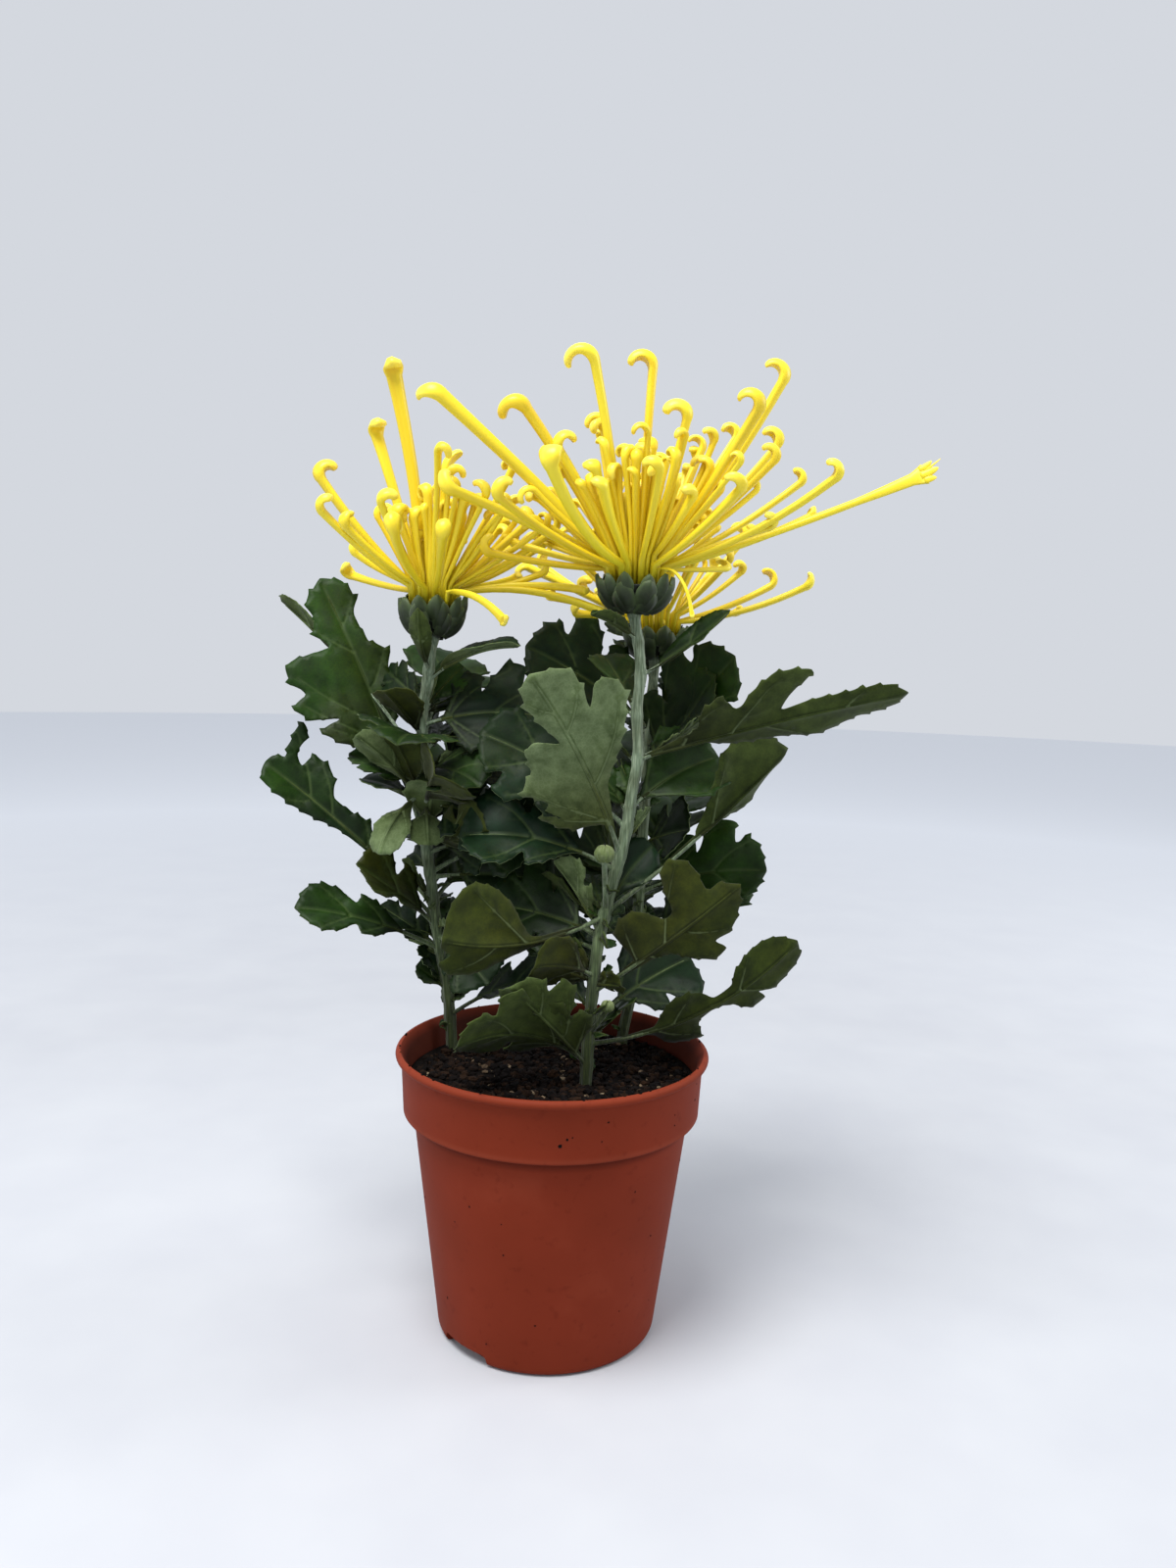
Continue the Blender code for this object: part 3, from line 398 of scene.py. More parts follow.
def lump(build, centre, radii, turn, draw, tone):
    # an icosahedron knocked out of true
    golden = (1 + math.sqrt(5)) / 2
    corners = [(-1, golden, 0), (1, golden, 0), (-1, -golden, 0), (1, -golden, 0),
               (0, -1, golden), (0, 1, golden), (0, -1, -golden), (0, 1, -golden),
               (golden, 0, -1), (golden, 0, 1), (-golden, 0, -1), (-golden, 0, 1)]
    triangles = [(0, 11, 5), (0, 5, 1), (0, 1, 7), (0, 7, 10), (0, 10, 11),
                 (1, 5, 9), (5, 11, 4), (11, 10, 2), (10, 7, 6), (7, 1, 8),
                 (3, 9, 4), (3, 4, 2), (3, 2, 6), (3, 6, 8), (3, 8, 9),
                 (4, 9, 5), (2, 4, 11), (6, 2, 10), (8, 6, 7), (9, 8, 1)]
    ids = []
    for corner in corners:
        spot = Vector(corner).normalized() * draw.uniform(0.72, 1.2)
        stretched = Vector((spot.x * radii[0], spot.y * radii[1], spot.z * radii[2]))
        ids.append(addPoint(build, centre + turn @ stretched, tone))
    for triangle in triangles:
        addFace(build, tuple(ids[k] for k in triangle))


def makeDirt(material):
    # splashes of peat dried on the outside of the pot and crumbs on its rim
    draw = random.Random(5)
    build = newBuild()
    collarBand, rimBand = pot["speckBands"][1:]
    smallest, largest = pot["speckSize"]
    collar, collarFoot = pot["rimRadius"] - pot["rimOverhang"], pot["height"] - pot["collarDrop"]
    collarHeight = pot["collarDrop"] - pot["collarTopDrop"]
    for i in range(pot["specks"]):
        angle = draw.uniform(0, 360)
        height = draw.choice([draw.uniform(*band) for band in pot["speckBands"]])
        if height >= rimBand[0]:
            radius = pot["rimRadius"] - pot["beadRadius"]
            size = draw.uniform(*pot["rimSpeckSize"])
            thickness = size * 0.6
        else:
            radius = wallRadius(height)
            if height >= collarBand[0]:
                radius = collar + pot["collarLean"] * (height - collarFoot) / collarHeight
            size = smallest + (largest - smallest) * draw.random() ** 2
            thickness = pot["speckThickness"]
        place = heading(angle, 0) * radius + Vector((0, 0, height))
        turn = Matrix.Rotation(math.radians(angle), 3, "Z")
        lump(build, place, (thickness, size, size * draw.uniform(0.6, 1.4)), turn, draw, 0.3)
    makePiece("driedPeatSpecks", build, [material], smooth=False)


# Growing medium
peat = {
    "top": 98.5, "roughness": 1.3, "sides": 120, "rings": 44, "wallGap": 0.35, "wallLean": 0.04,
    # strewn on the bed: how many, range of size, flatness and colours
    "strewn": {
        "peatCrumbs": (4600, (0.45, 2.3), 0.7, [(0.2, "040202"), (0.5, "0D0705"), (0.85, "2E1D10")]),
        "barkChips": (1500, (0.35, 1.7), 0.45, [(0.2, "2E241B"), (0.5, "5C4C3B"), (0.8, "98866C")]),
    },
    "clearOfWall": 0.6, "clearOfStem": 3.4, "chipPatch": 14.0,
}


def dampPeat(name, stops, roughness):
    # milled peat: dark, fibrous and damp, so nearly no gloss
    material, tree, shader, space = startMaterial(name, {"Roughness": roughness, "Specular IOR Level": 0.12})
    tone = addNode(tree, "Attribute", attribute_name="tone")
    grain = addNode(tree, "TexNoise", {"Vector": space, "Scale": 1000 / 0.8, "Detail": 6.0})
    both = addNode(tree, "Math", {0: tone.outputs["Fac"], 1: grain.outputs["Fac"]}, operation="ADD")
    half = addNode(tree, "Math", {0: both.outputs[0], 1: 0.5}, operation="MULTIPLY")
    colour = addNode(tree, "ValToRGB", {"Fac": half.outputs[0]}, stops=stops)
    tree.links.new(colour.outputs["Color"], shader.inputs["Base Color"])
    bump = addNode(tree, "Bump", {"Height": grain.outputs["Fac"], "Distance": 0.5 * mm, "Strength": 0.9})
    tree.links.new(bump.outputs["Normal"], shader.inputs["Normal"])
    return material


def peatHeight(x, y):
    spot = Vector((x, y, 7.3))
    return peat["top"] + peat["roughness"] * (noise.noise(spot * 0.09) + 0.5 * noise.noise(spot * 0.3)
                                              + 0.35 * noise.noise(spot * 0.9))


def makeSoil():
    crumbly = dampPeat("dampPeat", [(0.25, "040302"), (0.5, "0C0705"), (0.75, "1B1009")], 0.92)
    top, gap, rings = peat["top"], peat["wallGap"], peat["rings"]
    inside = potSection()[1]
    wall = [(radius - gap, height) for radius, height in reversed(inside[1:-1])]
    wall[0] = (wall[0][0] - 0.3, wall[0][1] + gap)
    topRadius = wall[-1][0] + (top - wall[-1][1]) * peat["wallLean"]
    profile = [(0, wall[0][1])] + wall + [(topRadius, top)]
    profile += [(topRadius * (1 - k / rings), top) for k in range(1, rings)] + [(0, top)]
    build = turnedBuild(profile, peat["sides"])
    for i, place in enumerate(build["points"]):
        if place.z > top - 0.1 and math.hypot(place.x, place.y) < topRadius - 0.4:
            build["points"][i] = Vector((place.x, place.y, peatHeight(place.x, place.y)))
        build["marks"]["tone"][i] = 0.5 + 0.4 * noise.noise(place * 0.35)
    makePiece("peatBed", build, [crumbly], ["soil"])
    for name, (count, sizes, flat, stops) in peat["strewn"].items():
        strewOnBed(name, count, sizes, flat, dampPeat(name[:-1] + "Fibre", stops, 0.9), topRadius)
    return crumbly


def strewOnBed(name, count, sizes, flat, material, topRadius):
    draw = random.Random(len(name))
    build = newBuild()
    feet = [Vector(points[0][:2]) for points in stemPaths.values()]
    for i in range(count):
        reach = (topRadius - peat["clearOfWall"] - sizes[1]) * math.sqrt(draw.random())
        spot = heading(draw.uniform(0, 360), 0) * reach
        if min((spot.xy - foot).length for foot in feet) < peat["clearOfStem"]:
            continue
        # chips lie in patches
        if name == "barkChips" and noise.noise(spot / peat["chipPatch"]) < 0.3 * draw.random() - 0.04:
            continue
        size = sizes[0] + (sizes[1] - sizes[0]) * draw.random() ** 2.2
        spot.z = peatHeight(spot.x, spot.y) + size * draw.uniform(0.0, 0.5)
        spin = Matrix.Rotation(draw.uniform(0, 6.3), 3, "Z")
        turn = spin @ Matrix.Rotation(draw.uniform(-0.7, 0.7), 3, "X")
        radii = (size * draw.uniform(0.7, 1.5), size * 0.8, size * flat)
        lump(build, spot, radii, turn, draw, draw.random())
    makePiece(name, build, [material], ["soil"], smooth=False)


# Stems: centre line of each, from the soil's surface to the bloom
stemPaths = {
    "front": [(13, -9, 104), (14, -9, 127), (16, -8, 152), (20, -6, 172), (25, -5, 193),
              (27, -4, 209), (29, -3, 223), (28, -2, 240), (29, -1, 253), (28, 0, 264),
              (26, 0, 275), (26, 0, 276.5)],
    "left": [(-41.5, 28.5, 104), (-44, 29, 127), (-48, 27, 148), (-50, 25, 166), (-52, 23, 182),
             (-53, 20, 208), (-54, 17, 234), (-52, 15, 247), (-51, 13, 256), (-50, 12, 264),
             (-50, 12, 265.5)],
    "rear": [(29, 36, 104), (33, 40, 126), (34, 42, 159), (35, 44, 187), (36, 46, 216),
             (37, 48, 240), (38, 51, 258), (38, 51, 259.5)],
}
stem = {
    "radius": 2.2, "topRadius": 1.9, "flare": 0.9, "sides": 42, "ribs": 7, "ribDepth": 0.07, "socket": 12.0,
    "nodeSwell": 0.35, "nodeLength": 2.2,
    "oldBelow": 105, "newAbove": 225,  # heights between which the rind turns from old to new
}

# Each leaf: height of its node on the stem, azimuth and rise of the line from node to tip, that line's
# length, full width, droop and swing of the midrib, roll about it, fold of each half, share of bare stalk,
# and shape.
leafRows = {
    "front": [
        (186, -133, 53, 84, 50, 20, 0, 46, 6, 0.17, "pale"),
        (222, -11, 16, 101, 40, 6, 0, -42, 8, 0.05, "long"),
        (253, -24, 36, 42, 12, -14, 0, 50, 22, 0.22, "lance"),
        (266, -136, 19, 27, 8, 24, 0, 0, 24, 0.20, "lance"),
        (203, 28, 26, 44, 36, 30, 0, 46, 12, 0.16, "spoon"),
        (134, -28, 40, 74, 44, -8, 0, -66, 10, 0.30, "broad"),
        (164, 10, 42, 94, 38, -10, 0, -52, 26, 0.48, "spoon"),
        (163, -151, -3, 66, 44, -40, 0, 84, 14, 0.26, "mitten"),
        (106, -150, 15, 56, 42, 60, 16, 46, 14, 0.24, "lobed"),
        (114, -4, 29, 88, 26, -42, 0, -66, 10, 0.24, "necked"),
        (122, 30, 24, 50, 36, 20, 0, 46, 14, 0.30, "oak"),
        (155, 160, 10, 46, 40, 26, 0, -50, 10, 0.20, "lobed"),
        (140, -133, 16, 34, 24, 26, 0, 60, 14, 0.20, "spoon"),
        (196, 172, 31, 66, 44, 26, 0, -60, 10, 0.22, "lobed"),
        (180, 178, 11, 60, 34, 40, 0, -46, 14, 0.26, "oak"),
        (238, 118, 40, 34, 22, 20, 0, 0, 16, 0.20, "oak"),
    ],
    "left": [
        (183, 157, 64, 116, 62, 10, 0, -50, 8, 0.36, "tall"),
        (198, -132, 60, 34, 20, 14, 0, 26, 12, 0.24, "spoon"),
        (200, -149, 43, 40, 14, 16, 0, 60, 30, 0.24, "spoon"),
        (152, -174, 43, 92, 36, 14, 0, -66, 12, 0.42, "fingered"),
        (140, -158, 19, 62, 24, 22, 0, -40, 20, 0.30, "oak"),
        (205, -124, -40, 34, 17, 50, 0, 170, 16, 0.24, "spoon"),
        (199, -80, 22, 44, 34, 10, 0, -50, 30, 0.20, "oak"),
        (222, -100, 6, 34, 38, 60, 0, -10, 12, 0.18, "lobed"),
        (231, -3, 5, 50, 42, 34, 0, 56, 10, 0.18, "lobed"),
        (248, -24, 20, 42, 12, 46, 0, 0, 26, 0.20, "lance"),
        (236, 40, 44, 26, 16, 20, 0, 40, 16, 0.20, "spoon"),
        (253, -98, 52, 29, 9, -60, 0, 0, 10, 0.20, "lance"),
        (172, 6, 26, 58, 36, 10, 0, 50, 14, 0.42, "oak"),
        (160, 60, 22, 48, 40, 26, 0, 40, 14, 0.26, "oak"),
        (134, 44, 30, 32, 28, 20, 0, 40, 14, 0.24, "oak"),
        (112, -28, 26, 56, 22, 26, 0, 30, 20, 0.28, "oak"),
        (226, 78, 30, 60, 42, 30, 0, 20, 14, 0.24, "lobed"),
        (190, 72, 24, 58, 42, 34, 0, 20, 14, 0.26, "lobed"),
        (122, -172, 40, 17, 12, 20, 0, -40, 14, 0.20, "spoon"),
        (205, 30, 24, 56, 44, 24, 0, 50, 12, 0.20, "oak"),
        (180, -20, 12, 48, 38, 26, 0, 60, 12, 0.20, "oak"),
    ],
    "rear": [
        (230, 188, 32, 62, 46, 20, 0, -70, 10, 0.24, "lobed"),
        (208, -34, 54, 66, 48, 16, 0, 76, 10, 0.20, "lobed"),
        (162, -14, 14, 54, 42, 30, 0, 56, 14, 0.22, "lobed"),
        (182, -52, 20, 30, 28, 20, 0, 60, 14, 0.20, "oak"),
        (164, 178, 16, 58, 46, 20, 0, -56, 14, 0.24, "lobed"),
        (196, 120, 30, 62, 44, 34, 0, 0, 14, 0.24, "lobed"),
        (172, 62, 26, 66, 44, 34, 0, 0, 14, 0.26, "lobed"),
        (222, 44, 34, 58, 42, 30, 0, 0, 14, 0.22, "lobed"),
        (138, 97, 28, 60, 40, 36, 0, 0, 14, 0.30, "oak"),
        (246, 96, 38, 46, 34, 26, 0, 0, 14, 0.22, "oak"),
        (140, 20, 26, 56, 38, 30, 0, 20, 14, 0.28, "oak"),
    ],
}

# Smaller leaves seen between those: the same columns, then the tone
innerLeafRows = {
    "front": [
        (150, 150, 5, 30, 22, 20, 0, -50, 14, 0.22, "oak", 0.2),
        (138, -170, 20, 20, 22, 10, 0, 60, 14, 0.12, "oak", 0.95),
        (137, -40, 8, 13, 12, 10, 0, -60, 20, 0.15, "oak", 0.9),
        (105, -139, 44, 53, 32, 10, 0, 40, 22, 0.16, "lobed", 0.35),
        (126, -60, 30, 12, 8, -20, 0, 20, 30, 0.12, "spoon", 0.55),
    ],
    "left": [
        (214, 148, 40, 103, 14, 20, 0, 40, 20, 0.62, "lance", 0.30),
        (226, -128, 42, 28, 22, 14, 0, 10, 12, 0.16, "spoon", 0.88),
        (150, -150, 38, 44, 28, 10, 0, -40, 20, 0.22, "oak", 0.85),
        (200, -80, -33, 24, 15, 40, 0, 176, 12, 0.18, "spoon", 0.10),
        (186, -75, 55, 30, 22, 30, 0, 0, 14, 0.20, "spoon", 0.10),
        (146, -44, -25, 34, 26, 20, 0, 40, 14, 0.25, "oak", 0.10),
        (214, -45, -7, 34, 32, 40, 0, 30, 16, 0.20, "lobed", 0.30),
        (200, -24, -13, 42, 36, 30, 0, 50, 14, 0.20, "lobed", 0.00),
        (186, -48, 12, 38, 30, -20, 0, -60, 30, 0.20, "oak", 0.80),
        (170, -5, 0, 50, 40, 20, 0, 60, 14, 0.25, "lobed", 0.20),
    ],
    "rear": [
        (205, -36, 57, 58, 42, 10, 0, 60, 10, 0.15, "lobed", 0.30),
        (205, -62, 31, 38, 32, 20, 0, 40, 14, 0.20, "oak", 0.50),
    ],
}

# Side shoots with a bud at the end: stem, height of the node, tip of the shoot, bud radius
shootRows = [
    ("front", 165, (17, -17, 186), 3.0),
    ("front", 118, (20, -15, 129), 2.0),
]

# Half outlines of the blade: (share of the blade's length, share of the half width), stalk end first.
# A leaf whose two sides differ has one outline for each, the left side of the upper face first.
bladeShapes = {
    "lobed": [
        [(0, 0.07), (0.08, 0.34), (0.13, 0.66), (0.25, 0.84), (0.35, 0.76), (0.36, 0.42), (0.46, 0.76),
         (0.58, 1), (0.7, 0.92), (0.71, 0.54), (0.82, 0.64), (0.92, 0.46), (1, 0)],
    ],
    "oak": [
        [(0, 0.07), (0.14, 0.38), (0.26, 0.74), (0.4, 0.84), (0.46, 0.5), (0.6, 0.9), (0.77, 0.98),
         (0.91, 0.64), (1, 0)],
    ],
    "spoon": [
        [(0, 0.07), (0.2, 0.36), (0.4, 0.78), (0.56, 0.98), (0.66, 0.9), (0.82, 0.88), (0.94, 0.54),
         (1, 0)],
    ],
    "lance": [
        [(0, 0.2), (0.3, 0.72), (0.6, 1), (0.84, 0.7), (1, 0)],
    ],
    "pale": [
        [(0, 0.07), (0.12, 0.14), (0.23, 0.22), (0.35, 0.5), (0.5, 0.8), (0.62, 1), (0.72, 0.94),
         (0.76, 0.7), (0.66, 0.46), (0.79, 0.5), (0.9, 0.46), (1, 0)],
        [(0, 0.07), (0.02, 0.32), (0.05, 0.64), (0.14, 0.92), (0.24, 0.72), (0.34, 1), (0.44, 0.74),
         (0.57, 0.68), (0.62, 0.48), (0.55, 0.17), (0.68, 0.24), (0.85, 0.3), (0.95, 0.2), (1, 0)],
    ],
    "long": [
        [(0, 0.06), (0.2, 0.12), (0.3, 0.34), (0.45, 0.56), (0.6, 0.66), (0.74, 0.6), (0.86, 0.46),
         (0.95, 0.28), (1, 0)],
        [(0, 0.06), (0.12, 0.14), (0.21, 0.32), (0.25, 0.7), (0.33, 0.92), (0.37, 0.56), (0.45, 0.84),
         (0.56, 1.08), (0.67, 1), (0.53, 0.24), (0.68, 0.3), (0.84, 0.34), (0.94, 0.28), (1, 0)],
    ],
    "tall": [
        [(0, 0.07), (0.04, 0.32), (0.1, 0.6), (0.2, 0.78), (0.23, 0.52), (0.28, 0.86), (0.37, 1),
         (0.42, 0.8), (0.52, 0.92), (0.61, 0.84), (0.62, 0.28), (0.72, 0.38), (0.8, 0.3), (0.9, 0.3),
         (1, 0)],
        [(0, 0.07), (0.1, 0.12), (0.2, 0.26), (0.28, 0.4), (0.39, 0.32), (0.5, 0.4), (0.58, 0.22),
         (0.74, 0.2), (0.84, 0.3), (0.94, 0.24), (1, 0)],
    ],
    "fingered": [
        [(0, 0.08), (0.28, 0.15), (0.51, 0.34), (0.7, 0.42), (0.88, 0.42), (0.97, 0.28), (1, 0)],
        [(0, 0.08), (0.06, 0.28), (0.16, 0.42), (0.27, 0.34), (0.45, 0.32), (0.55, 0.64), (0.66, 0.8),
         (0.76, 0.74), (0.78, 0.44), (0.86, 0.6), (0.89, 1.06), (0.97, 1.1), (0.94, 0.62), (0.91, 0.34),
         (0.98, 0.22), (1, 0)],
    ],
    "broad": [
        [(0, 0.08), (0.12, 0.1), (0.25, 0.2), (0.33, 0.44), (0.46, 0.76), (0.56, 0.72), (0.55, 0.52),
         (0.68, 0.54), (0.8, 0.4), (0.9, 0.22), (1, 0)],
        [(0, 0.08), (0.01, 0.36), (0.03, 0.66), (0.13, 0.78), (0.26, 0.72), (0.38, 0.34), (0.48, 0.36),
         (0.55, 0.74), (0.63, 1), (0.74, 1.04), (0.82, 0.82), (0.8, 0.46), (0.78, 0.26), (0.89, 0.22),
         (1, 0)],
    ],
    "mitten": [
        [(0, 0.07), (0.27, 0.1), (0.36, 0.38), (0.44, 0.7), (0.6, 0.94), (0.8, 1), (0.93, 0.84),
         (0.99, 0.5), (1, 0)],
        [(0, 0.07), (0.27, 0.1), (0.48, 0.28), (0.69, 0.52), (0.84, 0.58), (0.93, 0.44), (0.88, 0.22),
         (0.97, 0.15), (1, 0)],
    ],
    "necked": [
        [(0, 0.1), (0.05, 0.24), (0.1, 0.7), (0.18, 0.92), (0.27, 0.95), (0.3, 0.36), (0.43, 0.18),
         (0.51, 0.4), (0.58, 0.88), (0.66, 0.82), (0.66, 0.44), (0.74, 0.72), (0.86, 0.64),
         (0.95, 0.46), (1, 0)],
        [(0, 0.1), (0.07, 0.14), (0.14, 0.52), (0.22, 0.78), (0.33, 0.8), (0.4, 0.46), (0.44, 0.18),
         (0.56, 0.26), (0.62, 0.58), (0.73, 0.76), (0.86, 0.72), (0.95, 0.46), (1, 0)],
    ],
}

# Tone of the leaves that stand out: 0 is blue-green, or pale grey-green on an underside, and 1 is
# brown-olive
leafTones = {
    "front": {0: 0.0, 1: 0.5, 2: 0.4, 4: 0.5, 5: 0.85, 6: 0.5, 7: 0.8, 8: 0.4, 9: 0.7, 10: 0.15, 11: 0.2,
              12: 0.95, 14: 0.05},
    "left": {0: 0.55, 1: 0.8, 2: 0.2, 3: 0.3, 4: 0.35, 5: 0.05, 6: 0.85, 7: 0.3, 8: 0.15, 12: 0.75, 14: 0.1,
             15: 0.1},
    "rear": {},
}
leaf = {
    "thickness": 0.42, "samples": 30, "gridSize": 2.3, "waviness": 2.8, "quilting": 0.7,
    "stalkHalfWidth": 0.7, "stalkRadius": 1.15, "clasp": 0.5, "ribStart": 0.75, "ribEnd": 0.2, "ribSteps": 36,
    "ribReach": 0.94, "ribSides": 9,
    "veinWidth": 1.0, "veinTaper": 0.65, "veinStep": 1.8, "veinGroove": 0.42, "veinRelief": 0.7,
    "veinReach": 0.88, "veinRoot": 1.2,
    "branches": ((4, 36), (4, -42), (7, 34), (7, -38), (9, 32), (9, -34)),  # step along a vein, angle off it
    "edgeSteps": 8, "edgePull": 0.36, "toothHeight": 1.45, "toothPitch": 6.3,
    "toothProfile": (1.0, 0.05, 0.08, 0.16, 0.32, 0.6),  # from a tooth's point to just before the next
    "toothShare": {"mitten": 0.4, "spoon": 0.5, "necked": 0.65, "broad": 0.7, "lance": 0.5},
}


def leafSkin(name, stops, veinColour, veinShare, veinFoot, creaseShade, look):
    # living chrysanthemum leaf: leathery skin with short down, veins a little paler, tone by leaf
    material, tree, shader, space = startMaterial(name, look)
    tone = addNode(tree, "Attribute", attribute_name="tone")
    vein = addNode(tree, "Attribute", attribute_name="vein")
    # patches where the green turns olive
    patch = addNode(tree, "TexNoise", {"Vector": space, "Scale": 1000 / 30, "Detail": 2.0})
    offset = addNode(tree, "Math", {0: patch.outputs["Fac"], 1: 0.5}, operation="SUBTRACT")
    shifted = addNode(tree, "Math", {0: offset.outputs[0], 1: 0.7, 2: tone.outputs["Fac"]},
                      operation="MULTIPLY_ADD")
    base = addNode(tree, "ValToRGB", {"Fac": shifted.outputs[0]}, stops=stops)
    cloud = addNode(tree, "TexNoise", {"Vector": space, "Scale": 1000 / 5, "Detail": 7.0})
    mottle = addNode(tree, "ValToRGB", {"Fac": cloud.outputs["Fac"]},
                     stops=[(0.3, "A6AE9A"), (0.65, "FFFFFF")])
    clouded = addNode(tree, "Mix", {0: 0.8, 6: base.outputs["Color"], 7: mottle.outputs["Color"]},
                      **multiply)
    # painted shade near the stem: the blade's foot is darker and more olive than its lobes
    along = addNode(tree, "Attribute", attribute_name="along")
    foot = addNode(tree, "ValToRGB", {"Fac": along.outputs["Fac"]},
                   stops=[(0.2, "B4AE84"), (0.6, "FFFFFF")])
    skin = addNode(tree, "Mix", {0: 1.0, 6: clouded.outputs[2], 7: foot.outputs["Color"]}, **multiply)
    # finest veins: a net of cells 1.5 mm wide
    cells = addNode(tree, "TexVoronoi", {"Vector": space, "Scale": 1000 / 1.5},
                    feature="DISTANCE_TO_EDGE")
    net = addNode(tree, "ValToRGB", {"Fac": cells.outputs["Distance"]},
                  stops=[(0.0, "FFFFFF"), (0.14, "D4DCC8")])
    netted = addNode(tree, "Mix", {0: 0.5, 6: skin.outputs[2], 7: net.outputs["Color"]}, **multiply)
    # a raised vein: pale along its back, with painted shade darkening the creases beside it
    creaseShadeRamp = addNode(tree, "ValToRGB", {"Fac": vein.outputs["Fac"]},
                     stops=[(0.02, "FFFFFF"), (0.2, creaseShade), (0.5, "F4F6F0")])
    creaseShaded = addNode(tree, "Mix", {0: 1.0, 6: netted.outputs[2], 7: creaseShadeRamp.outputs["Color"]}, **multiply)
    back = addNode(tree, "ValToRGB", {"Fac": vein.outputs["Fac"]},
                   stops=[(veinFoot, "000000"), (0.9, "FFFFFF")])
    paler = addNode(tree, "Math", {0: back.outputs["Color"], 1: veinShare}, operation="MULTIPLY")
    veined = addNode(tree, "Mix", {
        0: paler.outputs[0], 6: creaseShaded.outputs[2], 7: toLinear(veinColour)}, **blend)
    tree.links.new(veined.outputs[2], shader.inputs["Base Color"])
    bump = addNode(tree, "Bump", {
        "Height": cells.outputs["Distance"], "Distance": 0.12 * mm, "Strength": 0.4})
    tree.links.new(bump.outputs["Normal"], shader.inputs["Normal"])
    return material


def stemRind(name, stops):
    # green stem skin: fine lengthwise ribs under pale grey down
    look = {"Roughness": 0.62, "Sheen Weight": 0.25, "Sheen Roughness": 0.5, "Specular IOR Level": 0.3}
    material, tree, shader, space = startMaterial(name, look)
    stretched = addNode(tree, "Mapping", {"Vector": space, "Scale": (1.0, 1.0, 0.05)})
    streaks = addNode(tree, "TexNoise", {
        "Vector": stretched.outputs[0], "Scale": 1000 / 0.7, "Detail": 4.0})
    skin = addNode(tree, "ValToRGB", {"Fac": streaks.outputs["Fac"]}, stops=stops)
    patches = addNode(tree, "TexNoise", {"Vector": space, "Scale": 1000 / 7})
    shade = addNode(tree, "ValToRGB", {"Fac": patches.outputs["Fac"]},
                    stops=[(0.3, "A9A488"), (0.65, "FFFFFF")])
    rind = addNode(tree, "Mix", {0: 0.75, 6: skin.outputs["Color"], 7: shade.outputs["Color"]},
                   **multiply)
    # older and darker towards the soil
    split = addNode(tree, "SeparateXYZ", {0: space})
    height = addNode(tree, "MapRange", {
        "Value": split.outputs["Z"], "From Min": stem["oldBelow"] * mm, "From Max": stem["newAbove"] * mm})
    age = addNode(tree, "ValToRGB", {"Fac": height.outputs["Result"]},
                  stops=[(0.0, "7E8450"), (0.4, "B4BC96"), (1.0, "FFFFFF")])
    aged = addNode(tree, "Mix", {0: 1.0, 6: rind.outputs[2], 7: age.outputs["Color"]}, **multiply)
    tree.links.new(aged.outputs[2], shader.inputs["Base Color"])
    bump = addNode(tree, "Bump", {
        "Height": streaks.outputs["Fac"], "Distance": 0.15 * mm, "Strength": 0.5})
    tree.links.new(bump.outputs["Normal"], shader.inputs["Normal"])
    return material


def pointAtHeight(path, height):
    for low, high in zip(path, path[1:]):
        if low.z <= height <= high.z:
            return low.lerp(high, (height - low.z) / (high.z - low.z))
    return path[-1].copy()


def stemLine(name):
    points = [Vector(p) for p in stemPaths[name]]
    return smoothPath([points[0] - Vector((0, 0, stem["socket"]))] + points, 8)


def addStem(build, name):
    path = stemLine(name)
    foot, top = path[0].z, path[-1].z
    nodes = [row[0] for row in leafRows[name]]
    base = []
    for place in path:
        share = (place.z - foot) / (top - foot)
        swell = sum(math.exp(-((place.z - height) / stem["nodeLength"]) ** 2) for height in nodes)
        flare = stem["flare"] * max(0.0, 1 - (top - place.z) / 6) ** 2
        base.append(stem["radius"] + (stem["topRadius"] - stem["radius"]) * share
                    + stem["nodeSwell"] * min(swell, 1.0) + flare)

    def ribbed(i, angle):
        radius = base[i] * (1 + stem["ribDepth"] * math.cos(stem["ribs"] * angle + path[i].z * 0.01))
        return radius * math.cos(angle), radius * math.sin(angle)

    addTube(build, path, ribbed, stem["sides"], Vector((0, 1, 0)), slot=2)


def leafFrames(row, base):
    # midrib points with the across and face directions there, ending exactly at the tip
    azimuth, rise, length, droop, swing, roll, stalk = (row[i] for i in (1, 2, 3, 5, 6, 7, 9))
    samples = leaf["samples"]
    points, directions = [Vector((0, 0, 0))], []
    for i in range(samples):
        t = (i + 0.5) / samples
        directions.append((azimuth + swing * (t - 0.5), rise - droop * (t - 0.5)))
        points.append(points[-1] + heading(*directions[-1]))
    turn = points[-1].rotation_difference(heading(azimuth, rise))
    scale = length / points[-1].length
    frames = []
    for i, point in enumerate(points):
        a, e = directions[min(i, samples - 1)]
        tangent = turn @ heading(a, e)
        spin = Matrix.Rotation(math.radians(roll) * min(1.0, i / samples / max(stalk, 0.05)), 3, tangent)
        face = spin @ (turn @ heading(a, e + 90))
        frames.append((base + turn @ point * scale, face.cross(tangent).normalized(), face.normalized()))
    return frames


def frameAt(frames, t):
    place = min(max(t, 0.0), 1.0) * (len(frames) - 1)
    i = min(int(place), len(frames) - 2)
    return [frames[i][k].lerp(frames[i + 1][k], place - i) for k in range(3)]


